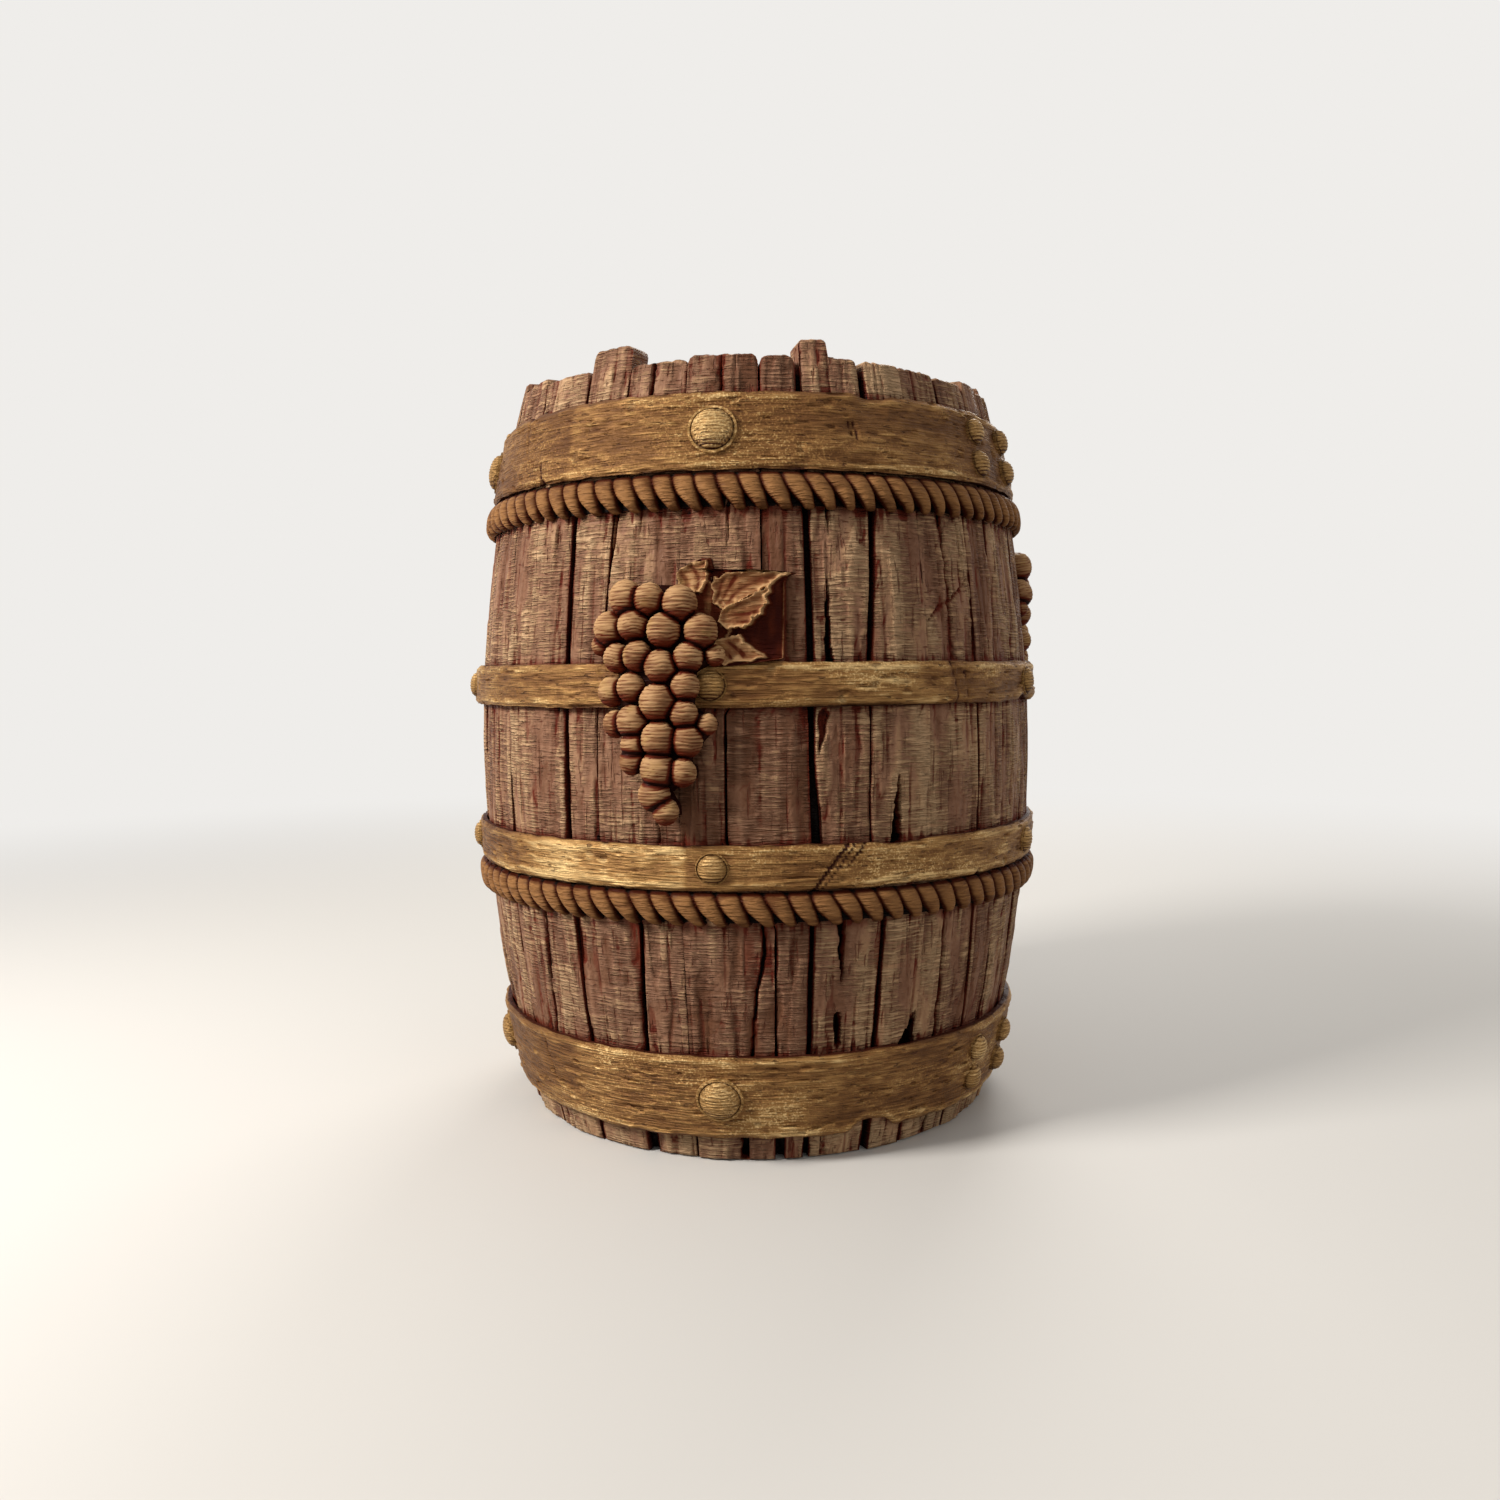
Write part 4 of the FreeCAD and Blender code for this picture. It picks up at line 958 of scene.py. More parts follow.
# Joints that the photograph shows, each after the stave of its key: heights, angles from the
# middle of the photograph, and how wide the joint stands open. They shift behind the hoops.
SEEN_JOINTS = {
    11: (LEVELS, [-52.5, -56.0, -56.2, -54.1, -54.2, -56.2, -56.4, -52.9, -53.8],
         [1.4, 0.4, 0.4, 0.4, 0.4, 0.5, 0.5, 1.1, 1.1]),
    12: (LEVELS, [-38.0, -36.0, -36.0, -36.3, -36.4, -36.4, -36.5, -37.4, -37.4],
         [1.2, 0.9, 1.2, 1.5, 1.6, 2.0, 1.8, 0.7, 0.7]),
    13: ([6, 16, 42, 88, 118, 162, 182, 231, 270, 290],
         [-24.0, -24.0, -22.5, -21.7, -29.4, -29.2, -28.0, -27.0, -26.6, -26.6],
         [5.0, 4.4, 1.6, 1.5, 0.2, 0.2, 0.15, 0.7, 0.2, 0.2]),
    14: ([6, 42, 231, 290], [-13.4, -13.4, -13.4, -13.5], [0.9, 0.12, 0.12, 0.5]),
    15: ([6, 16, 42, 88, 118, 162, 182, 231, 270, 290],
         [4.4, 4.3, 3.3, 3.2, -5.2, -5.2, 1.2, 1.3, 1.3, 1.3],
         [4.0, 3.4, 0.8, 0.5, 0.9, 0.7, 0.4, 0.4, 0.8, 0.9]),
    16: ([6, 16, 42, 88, 118, 130, 145, 162, 182, 231, 270, 290],
         [10.0, 10.0, 9.7, 9.8, 10.4, 10.0, 9.6, 9.6, 9.6, 9.5, 9.2, 9.2],
         [2.4, 2.2, 1.8, 1.8, 3.6, 2.9, 2.2, 2.2, 2.6, 2.4, 1.9, 1.9]),
    17: ([6, 42, 88, 118, 135, 162, 182, 231, 270, 290],
         [23.5, 23.2, 23.4, 20.4, 20.2, 20.3, 20.5, 22.4, 23.0, 23.0],
         [3.2, 1.7, 1.1, 0.5, 0.4, 0.5, 1.7, 1.8, 2.1, 2.1]),
    18: ([6, 42, 118, 231, 290], [32.8, 32.4, 32.4, 32.4, 32.6], [1.2, 0.3, 0.2, 0.15, 0.2]),
    19: (LEVELS, [47.0, 47.4, 46.4, 46.2, 45.8, 45.8, 45.4, 43.6, 43.4],
         [1.0, 0.3, 0.3, 0.6, 0.5, 0.2, 0.2, 0.7, 0.9]),
    20: ([6, 118, 162, 182, 231, 290], [54.5, 54.7, 54.3, 52.7, 53.5, 54.9],
         [0.8, 0.2, 0.2, 0.6, 0.6, 0.6]),
    21: ([6, 118, 162, 182, 231, 290], [68.5, 66.1, 66.1, 67.7, 68.1, 66.0],
         [0.6, 0.3, 0.3, 0.3, 0.3, 0.6]),
}

# Heights between which the staves show, from the floor up
BANDS = [(0.0, 9.0), (42.5, 88.0), (118.5, 163.5), (180.5, 230.5), (273.0, 294.0)]


def hidden_cracks(number: int, left: float, right: float) -> list[Crack]:
    """Cracks of the same kinds for a stave that the photograph doesn't show.

    Args:
        number: The stave's number, which picks them.
        left: Azimuth of its left side.
        right: Azimuth of its right side.

    Returns:
        Grooves along a band and splits that run in from its ends.
    """
    draw = np.random.default_rng(700 + number)
    cracks = []
    for low, high in BANDS:
        for _ in range(int(draw.integers(1, 3))):
            azimuth = draw.uniform(left + 1.2, right - 1.2)
            drift = draw.uniform(-0.5, 0.5)
            if high - low > 30.0 and draw.random() < 0.38:
                start, end = (high, high - 28.0) if draw.random() < 0.5 else (low, low + 28.0)
                cracks.append(Crack(azimuth, start, 2.6, azimuth + drift, end, 0.1, 4.5))
            else:
                width = draw.uniform(0.5, 1.2)
                end = low - 1.0 if draw.random() < 0.6 else draw.uniform(low, high)
                cut = (azimuth + drift, end, width, 1.4 * width)
                cracks.append(Crack(azimuth, high + 1.0, width, *cut))
    return cracks


# Staves

@dataclass(frozen=True)
class Joint:
    """Joint between two staves: where it runs and how wide it stands open at heights."""

    heights: list[float]
    angles: list[float]
    openings: list[float]

    def line(self, height: Array) -> tuple[Array, Array]:
        """Azimuth of the joint at a height, and its opening in millimetres."""
        angle = np.interp(height, self.heights, self.angles)
        return SEEN_AZIMUTH + angle, np.interp(height, self.heights, self.openings)

    def turned(self, degrees: float) -> "Joint":
        """The same joint with its azimuths counted from further round."""
        return Joint(self.heights, [angle + degrees for angle in self.angles], self.openings)


@dataclass
class Stave:
    """One bowed stave, with its ends where its CAD solid has them.

    A layer of its relief is a height, then the sizes of its pattern across and upwards. A
    flake is the share of the pattern that it starts at, then its height.
    """

    number: int
    column_mm: float = 0.56
    row_mm: float = 1.2
    depths: tuple[float, ...] = (0.0, 0.9, 4.8, 5.4, 11.0)
    shut_level: int = 3
    back_columns: int = 7
    end_drops: tuple[float, ...] = (0.7, 0.1, 0.0, 0.0, 0.0)
    corner: float = 2.6
    worn_edge: float = 0.8
    waver: float = 0.12
    top_zone: float = 14.0
    open_height: float = 278.0
    sway: Triple = (0.3, 15.0, 60.0)
    grain: Triple = (0.16, 2.1, 30.0)
    hewn: Triple = (0.06, 7.0, 3.4)
    furrows: Triple = (0.36, 1.9, 26.0)
    flakes: tuple[Size, ...] = ((-0.35, 0.4), (0.3, 0.34))
    left: float = field(init=False)
    right: float = field(init=False)
    joints: list["Joint"] = field(init=False)
    sink: float = field(init=False)
    tops: Size = field(init=False)
    cracks: list[Crack] = field(init=False)

    def __post_init__(self) -> None:
        """Reads the sides, the ends and the face from the CAD solid."""
        points = mesh_points(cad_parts[self.name].data)
        turn = np.degrees(np.arctan2(points[:, 0], -points[:, 1]))
        middle = math.degrees(math.atan2(points[:, 0].sum(), -points[:, 1].sum())) % 360.0
        away = wrapped(turn - middle)
        self.left = middle + away.min()
        self.right = middle + away.max()
        share = (away - away.min()) / (away.max() - away.min())
        heights = points[:, 2]
        self.tops = (heights[share < 0.25].max(), heights[share > 0.75].max())
        out = np.hypot(points[:, 0], points[:, 1]) - SKIN.radius(heights)
        self.sink = -out.max()
        far = abs((self.left + self.right) / 2 - SEEN_AZIMUTH)
        self.cracks = [c for c in SEEN_CRACKS if self.left - 3 < c.azimuth < self.right + 3]
        if far > SEEN_HALF_ANGLE:
            self.cracks = hidden_cracks(self.number, self.left, self.right)
        self.joints = []

    @property
    def name(self) -> str:
        """Name of the CAD node."""
        return "stave_%02d" % self.number

    def sides(self, height: Array) -> tuple[Array, Array, Array, Array]:
        """Where the two sides run at a height.

        Each lies half the joint's opening from the joint's line, and wavers along it.

        Args:
            height: Height of each point.

        Returns:
            Azimuths of the left and right side, and how open the joint is at each.
        """
        runs = []
        for side, joint in zip((1.0, -1.0), self.joints):
            line, opening = joint.line(height)
            waver = self.waver * rough(height / 9.0, 0.0, 31 * self.number + int(side))
            runs.append((line + side * (opening / 2 / DEGREE + np.clip(waver, 0.0, 0.3)), opening))
        return runs[0][0], runs[1][0], runs[0][1], runs[1][1]

    def top(self, share: Array, width: float) -> Array:
        """Height of the stave's end across its width: rounded corners and a rough edge.

        Args:
            share: Share of the way across the stave.
            width: The stave's width on the belly.

        Returns:
            The height at each share.
        """
        level = np.where(share < 0.5, self.tops[0], self.tops[1])
        edge = np.minimum(share, 1.0 - share) * width
        if self.tops[0] - self.tops[1] > 1.0:
            edge = np.minimum(edge, np.where(share < 0.5, (0.5 - share) * width, edge))
        rest = unit(1.0 - edge / self.corner)
        rounded = self.corner * (1.0 - np.sqrt(1.0 - rest ** 2))
        bites = 0.35 * (1.0 + rough(share * width / 2.5, 0.0, 900 + self.number))
        return level - rounded - (0.3 + np.clip(bites, 0.0, None))

    def face(
        self, azimuth: Array, height: Array, share: Array, width: float, soft: tuple[Array, Array]
    ) -> tuple[Array, Marks]:
        """Relief of the front face.

        Added up are a slow sway, upright grain, level hewing marks, two flaked layers whose
        edges are steps, and a crown across the stave. Furrows, worn edges and the cracks
        are taken away.

        Args:
            azimuth: Azimuth of each point.
            height: Height of each point.
            share: Share of the way across the stave.
            width: The stave's width on the belly.
            soft: How worn the left and the right edge are.

        Returns:
            The offset out of the skin, the marks for glaze and painted shade, and the marks for dry brush
            and painted highlight.
        """
        across = azimuth * DEGREE
        seed = 17 * self.number
        edges = (share * width, (1.0 - share) * width)
        sway = self.sway[0] * rough(across / self.sway[1], height / self.sway[2], seed)
        grain = self.grain[0] * noise(across / self.grain[1], height / self.grain[2], seed + 1)
        hewn = self.hewn[0] * noise(across / self.hewn[1], height / self.hewn[2], seed + 2)
        furrow = noise(across / self.furrows[1], height / self.furrows[2], seed + 5)
        furrow = smooth((furrow - 0.42) / 0.25)
        flaked = rough(across / 6.0, height / 30.0, seed + 9)
        steps = np.zeros_like(across)
        feet = np.zeros_like(across)
        for level, drop in self.flakes:
            steps = steps + drop * smooth((flaked - level) / 0.08)
            feet = feet + np.exp(-((flaked - level + 0.01) / 0.05) ** 2)
        crown = -0.3 * (2.0 * share - 1.0) ** 2
        worn, lined = (
            sum(0.5 * s * (1.0 - smooth(edge / reach)) for s, edge in zip(soft, edges))
            for reach in (self.worn_edge, 0.7)
        )
        splits = np.zeros_like(across)
        for place, crack in enumerate(self.cracks):
            splits = np.maximum(splits, crack.cut(azimuth, height, seed + 3 * place))
        raised = sway + grain + hewn + steps + crown
        offset = raised - self.sink - 0.4 - self.furrows[0] * furrow - worn - splits
        # Glaze in cracks, joint edges, furrows and flake feet; deep cracks reach the painted near-black
        # shade
        hollow = np.clip(splits / 2.4, 0.0, 1.3) + lined + 0.4 * furrow + 0.34 * feet
        # Painted shadow: each band of stave is darkened just above and just below the hoop or rope that
        # bounds it
        for low, high in BANDS[1:]:
            foot = 1.0 - smooth((height - low + 1.5) / 4.5)
            hollow = hollow + 0.5 * foot * (height > low - 3.0) * (height < low + 6.0)
            if high < self.open_height:
                head = 1.0 - smooth((high - height + 1.0) / 4.0)
                hollow = hollow + 0.4 * head * (height < high + 3.0) * (height > high - 6.0)
        ridge = unit(0.35 + (grain + hewn) / 0.5 + sway / 1.6 + 0.6 * steps)
        # Painted highlight: the foot of each stave, below the bottom hoop, is made paler as if lit
        ridge = ridge + 0.5 * (1.0 - smooth((height - 8.0) / 3.0))
        return offset, {"hollow": np.clip(hollow, 0.0, 1.3), "ridge": ridge}

    def surface(self) -> tuple[Array, list[Array], Marks]:
        """Closed surface: a tray of front, sides and ends, and a coarse back in its rim.

        The front is a grid of rows by columns. Each side repeats its end column at the
        deeper levels, and each end repeats its end row, so that a side and an end share
        the stave's corner line.

        Returns:
            The points, the groups of faces and the marks.
        """
        width = (self.right - self.left) * DEGREE
        columns = int(round(width / self.column_mm)) + 1
        rows = int(round(max(self.tops) / self.row_mm)) + 1
        levels = len(self.depths) - 1
        share = np.linspace(0.0, 1.0, columns)
        wide = np.concatenate([np.zeros(levels), share, np.ones(levels)])
        steps = np.arange(1, levels + 1)
        sunk = np.concatenate([steps[::-1], np.zeros(columns, int), steps])
        depth = np.array(self.depths)[sunk]
        drop = np.array(self.end_drops)[sunk]
        row = np.arange(rows)[:, None]
        base = np.linspace(0.0, 1.0, rows)[:, None] * max(self.tops)
        zone = max(self.tops) - self.top_zone
        ends = self.top(wide, width)[None, :]
        heights = np.where(base < zone, base, zone + (base - zone) * (ends - zone) / self.top_zone)
        heights = heights + np.where(row == 0, drop, 0.0) - np.where(row == rows - 1, drop, 0.0)
        low_side, high_side, low_gap, high_gap = self.sides(heights)
        soft = tuple(np.clip(gap / 1.4, 0.22, 1.0) for gap in (low_gap, high_gap))
        azimuth = low_side + (high_side - low_side) * wide
        eased = 0.25 / DEGREE * (soft[0] * (1.0 - wide) - soft[1] * wide)
        azimuth = azimuth + np.where(sunk == 0, eased, 0.0)
        shut = np.where(wide < 0.5, *(joint.line(heights)[0] for joint in self.joints))
        shut = shut + np.where(wide < 0.5, 0.03, -0.03) / DEGREE
        azimuth = np.where(sunk >= self.shut_level, shut, azimuth)
        offset, marks = self.face(azimuth, heights, wide, width, soft)
        offset = np.where(sunk == 0, offset, -np.maximum(depth, self.sink + 0.9 * sunk))
        covered = 1.0 - smooth((heights - self.open_height) / 6.0)
        # Painted shade on the stave's sides in the joints: darker the further in, lighter only above the
        # open height at the rim
        marks["hollow"] = np.where(sunk == 0, marks["hollow"], 0.3 + (0.32 + 0.25 * sunk) * covered)
        index = numbered(rows, columns + 2 * levels)
        block = SKIN.point(azimuth, heights, offset).reshape(-1, 3)
        parts = [(block, marks["hollow"].ravel(), marks["ridge"].ravel())]
        faces = [quads(index)]
        count = index.size
        inner = slice(levels + 1, levels + columns - 1)
        rims = []
        for end, side in ((0, 1.0), (rows - 1, -1.0)):
            spans = [index[end, levels:levels + columns]]
            for level in range(1, levels + 1):
                place = azimuth[end, inner]
                high = (ends[0, inner] if end else 0.0) + side * self.end_drops[level]
                inwards = max(self.depths[level], self.sink + 0.9 * level)
                chewed = 0.5 + 0.4 * noise(place * DEGREE / 1.4, level, self.number)
                parts.append((SKIN.point(place, high, -inwards), np.full(len(place), 0.2), chewed))
                fresh = count + np.arange(len(place))
                count += len(place)
                sides = index[end, [levels - level, levels + columns - 1 + level]]
                spans.append(np.concatenate([sides[:1], fresh, sides[1:]]))
            grid = np.stack(spans)
            faces.append(quads(grid if end else grid[::-1]))
            rims.append(grid[-1])
        stops = np.linspace(0, columns - 1, self.back_columns).round().astype(int)
        turn = azimuth[1:-1, levels + stops[1:-1]]
        plain = SKIN.point(turn, heights[1:-1, [levels]], -self.depths[-1]).reshape(-1, 3)
        parts.append((plain, np.full(turn.size, 0.1), np.full(turn.size, 0.5)))
        back = np.zeros((rows, self.back_columns), int)
        back[:, [0, -1]] = index[:, [0, -1]]
        back[1:-1, 1:-1] = count + numbered(rows - 2, self.back_columns - 2)
        back[0] = rims[0][stops]
        back[-1] = rims[1][stops]
        faces.append(quads(back[1:-1])[:, ::-1])
        for rim, near, way in ((rims[0], back[1], 1), (rims[1], back[-2], -1)):
            for k in range(self.back_columns - 1):
                strip = np.concatenate([rim[stops[k]:stops[k + 1] + 1], near[k:k + 2][::-1]])
                faces.append(strip[None, ::way])
        points, hollow, ridge = (np.concatenate(part) for part in zip(*parts))
        return points, faces, {"hollow": hollow, "ridge": ridge}


@dataclass
class TapHole:
    """Hole in the tap stave: a bore for the neck ring, and a flat seat for its flange.

    The cut wood's marks make it half glazed, with no streaks of its own.
    """

    height: float = 64.0
    bore: float = 14.25
    seat: float = 18.65
    seat_out: float = 105.76
    inner_out: float = 80.0
    outer_out: float = 130.0
    columns: int = 96
    marks: tuple[tuple[str, float], ...] = (("hollow", 0.62), ("ridge", 0.4), ("tone", 0.0))

    def plug(self) -> Object:
        """Stepped round plug of the wood that the hole takes away.

        The plug is its outline, bore then seat, turned about the tap's level axis.

        Returns:
            The plug, to be cut out and thrown away.
        """
        outline = np.array([
            [0.5, self.inner_out], [self.bore, self.inner_out], [self.bore, self.seat_out],
            [self.seat, self.seat_out], [self.seat, self.outer_out], [0.5, self.outer_out],
        ])
        radius, out = outline.T[..., None]
        turn = circle(self.columns)
        points = stacked(radius * np.cos(turn), -out, self.height + radius * np.sin(turn))
        shell = Shell().add(points, tube_faces(len(outline), self.columns))
        return linked("tap_hole_plug", shell.mesh("tap_hole_plug"))

    def cut(self, stave: Object) -> None:
        """Takes the plug out of a stave, and marks the cut wood.

        Args:
            stave: The finished stave.
        """
        plug = self.plug()
        cutting = stave.modifiers.new("tap_hole", "BOOLEAN")
        cutting.object = plug
        cutting.solver = "EXACT"
        graph = bpy.context.evaluated_depsgraph_get()
        mesh = bpy.data.meshes.new_from_object(stave.evaluated_get(graph))
        stave.modifiers.clear()
        stave.data = mesh
        bpy.data.objects.remove(plug)
        mesh.set_sharp_from_angle(angle=math.radians(CREASE))
        x, _, z = mesh_points(mesh).T
        cut = np.hypot(x, z - self.height) < self.seat + 0.02
        for mark, value in self.marks:
            layer = mesh.attributes[mark]
            values = np.zeros(len(mesh.vertices), np.float32)
            layer.data.foreach_get("value", values)
            layer.data.foreach_set("value", np.where(cut, value, values).astype(np.float32))
        LOG.info("%s: tap hole cut, %d faces", stave.name, len(mesh.polygons))


@dataclass
class Staves:
    """The ring of staves, one piece each."""

    count: int = 28
    tone_spread: float = 0.1
    hidden_opening: Size = (0.3, 1.5)
    tap_stave: int = 1
    seen_tones: dict[int, float] = field(default_factory=lambda: {
        12: 0.04, 13: 0.02, 14: 0.0, 15: -0.14, 16: -0.2,
        17: 0.12, 18: 0.2, 19: 0.12, 20: 0.04, 21: 0.1,
    })

    def jointed(self) -> list[Stave]:
        """Reads the staves and lays the joint between each and the next.

        Returns:
            The staves, each with the joint before it and the joint after it.
        """
        draw = np.random.default_rng(8)
        staves = [Stave(number) for number in range(1, self.count + 1)]
        for stave, after in zip(staves, staves[1:] + staves[:1]):
            middle = stave.right + wrapped(after.left - stave.right) / 2
            opening = draw.uniform(*self.hidden_opening)
            joint = Joint(*SEEN_JOINTS.get(stave.number, ([0], [middle - SEEN_AZIMUTH], [opening])))
            stave.joints.append(joint)
            turns = round((after.left - stave.right) / 360.0)
            after.joints.insert(0, joint.turned(360.0 * turns))
        return staves

    def make(self) -> None:
        """Builds and dresses every stave."""
        draw = np.random.default_rng(5)
        for stave in self.jointed():
            points, faces, marks = stave.surface()
            tone = draw.uniform(-self.tone_spread, self.tone_spread) * 0.7
            tone = self.seen_tones.get(stave.number, tone)
            shell = Shell().add(points, faces, tone=tone, **marks)
            oak = piece("oak", stave.name, shell, STAVE_OAK)
            if stave.number == self.tap_stave:
                TapHole().cut(oak)


# Hoops

@dataclass(frozen=True)
class Dent:
    """Shallow hammer dent, or a bump where its depth is negative."""

    azimuth: float
    height: float
    across: float
    upright: float
    depth: float

    def cut(self, azimuth: Array, height: Array) -> Array:
        """Depth at each point: a bell of the distance over the dent's half sizes."""
        side = (azimuth - self.azimuth) * DEGREE / self.across
        up = (height - self.height) / self.upright
        return self.depth * np.exp(-(side ** 2 + up ** 2))


@dataclass
class Hoop:
    """Hewn strap round the cask, an outer face of rows round the ring and a plain back.

    A notch is its azimuth, half width in degrees, depth, and which edge it bites, 1 for the
    upper and -1 for the lower. A tone is where it starts and ends, and how much paler the
    rubbed gold is between.
    """

    name: str
    low: float
    width: float
    lapped: bool
    seed: int
    columns: int = 720
    row_mm: float = 0.6
    thickness: float = 2.7
    fit: float = 0.1
    lap_azimuth: float = 253.8
    lap_height: float = 0.7
    nibble: float = 0.9
    dents: list[Dent] = field(default_factory=list)
    scratches: list[Crack] = field(default_factory=list)
    notches: list[tuple[float, float, float, float]] = field(default_factory=list)
    tones: list[Triple] = field(default_factory=list)

    def edges(self, azimuth: Array) -> tuple[Array, Array]:
        """Heights of the lower and upper edge: wavering, and bitten by notches.

        Args:
            azimuth: Azimuth of each column.

        Returns:
            The two heights.
        """
        turn = azimuth / 360.0
        under, over = (
            0.25 * self.nibble * (1.0 + noise(turn * 48, k, self.seed, 48))
            + 0.25 * (1.0 + noise(turn * 150, k, self.seed + 5, 150))
            for k in (3, 9)
        )
        low = self.low + under
        high = self.low + self.width - over
        for middle, half, depth, side in self.notches:
            cut = depth * smooth(1.6 * (1.0 - np.abs(azimuth - middle) / half))
            if side > 0:
                high = high - cut
            else:
                low = low + cut
        return low, high

    def relief(self, azimuth: Array, height: Array, edge: Array) -> tuple[Array, Marks]:
        """Relief of the outer face.

        Broad hammered facets, short level hewing marks and small nicks are added up. The
        edges are worn round, and the lap is a step that ends sharply at its seam.

        Args:
            azimuth: Azimuth of each point.
            height: Height of each point.
            edge: Distance to the nearer edge.

        Returns:
            The height over the plain face, and the marks for glaze and dry brush.
        """
        turn = azimuth / 360.0
        facets = 0.26 * rough(turn * 36, height / 8.0, self.seed, 2, 36)
        hewn = noise(turn * 84, height / 1.9, self.seed + 11, 84)
        fine = noise(turn * 240, height / 1.1, self.seed + 12, 240)
        nicks, lips = (
            smooth((noise(turn * 120, (height + shift) / 1.5, self.seed + 13, 120) - 0.63) / 0.16)
            for shift in (0.0, 0.9)
        )
        level = facets + 0.28 * hewn + 0.12 * fine - 0.6 * nicks + 0.4 * lips * (1.0 - nicks)
        beaten = sum(dent.cut(azimuth, height) for dent in self.dents)
        level = level - beaten
        cuts = np.zeros_like(level)
        for place, scratch in enumerate(self.scratches):
            cuts = np.maximum(cuts, scratch.cut(azimuth, height, self.seed + 20 + place))
        level = level - cuts - 0.9 * (1.0 - smooth(edge / 1.5))
        lip = smooth(1.0 - np.abs(edge - 2.0) / 1.8)
        level = level + 0.22 * lip
        if self.lapped:
            before = self.lap_azimuth - azimuth
            level = level + self.lap_height * smooth((22.0 - before) / 6.0) * (before > 0.0)
            seam = smooth(1.0 - np.abs(before) * DEGREE / 1.3)
            cuts = np.maximum(cuts, 0.8 * seam)
        hollow = 0.5 * nicks + unit(cuts / 0.8) + 0.5 * (1.0 - smooth(edge / 0.8))
        hollow = hollow + 0.4 * smooth((beaten - 0.7) / 0.6)
        ridge = 0.42 + 0.22 * hewn + 0.2 * fine + 0.65 * facets + 0.4 * lip + 0.3 * lips
        for start, end, change in self.tones:
            ridge = ridge + change * smooth((azimuth - start) / 8.0) * smooth((end - azimuth) / 1.4)
        return level, {"hollow": unit(hollow), "ridge": np.clip(ridge, 0.0, 1.4)}

    def make(self) -> None:
        """Builds the closed ring and dresses it."""
        count = int(round(self.width / self.row_mm)) + 1
        azimuth = (np.arange(self.columns) * 360.0 / self.columns)[:, None]
        low, high = self.edges(azimuth)
        share = np.linspace(0.0, 1.0, count)[None, :]
        face = low + (high - low) * share
        edge = np.minimum(face - low, high - face)
        level, marks = self.relief(azimuth, face, edge)
        lip = self.fit + 1.3
        order = [(high, lip), (high, self.fit), (low, self.fit), (low, lip)]
        heights = np.concatenate([face] + [end for end, _ in order], axis=1)
        outs = [np.full(end.shape, out) for end, out in order]
        outs = np.concatenate([self.fit + self.thickness + level] + outs, axis=1)
        for key, plain in (("hollow", 1.0), ("ridge", 0.3)):
            marks[key] = np.pad(marks[key], ((0, 0), (0, len(order))), constant_values=plain)
        points = SKIN.point(azimuth, heights, outs)
        shell = Shell().add(points, ring_faces(*heights.shape), **marks)
        piece("strap", self.name, shell, HOOP_GOLD)


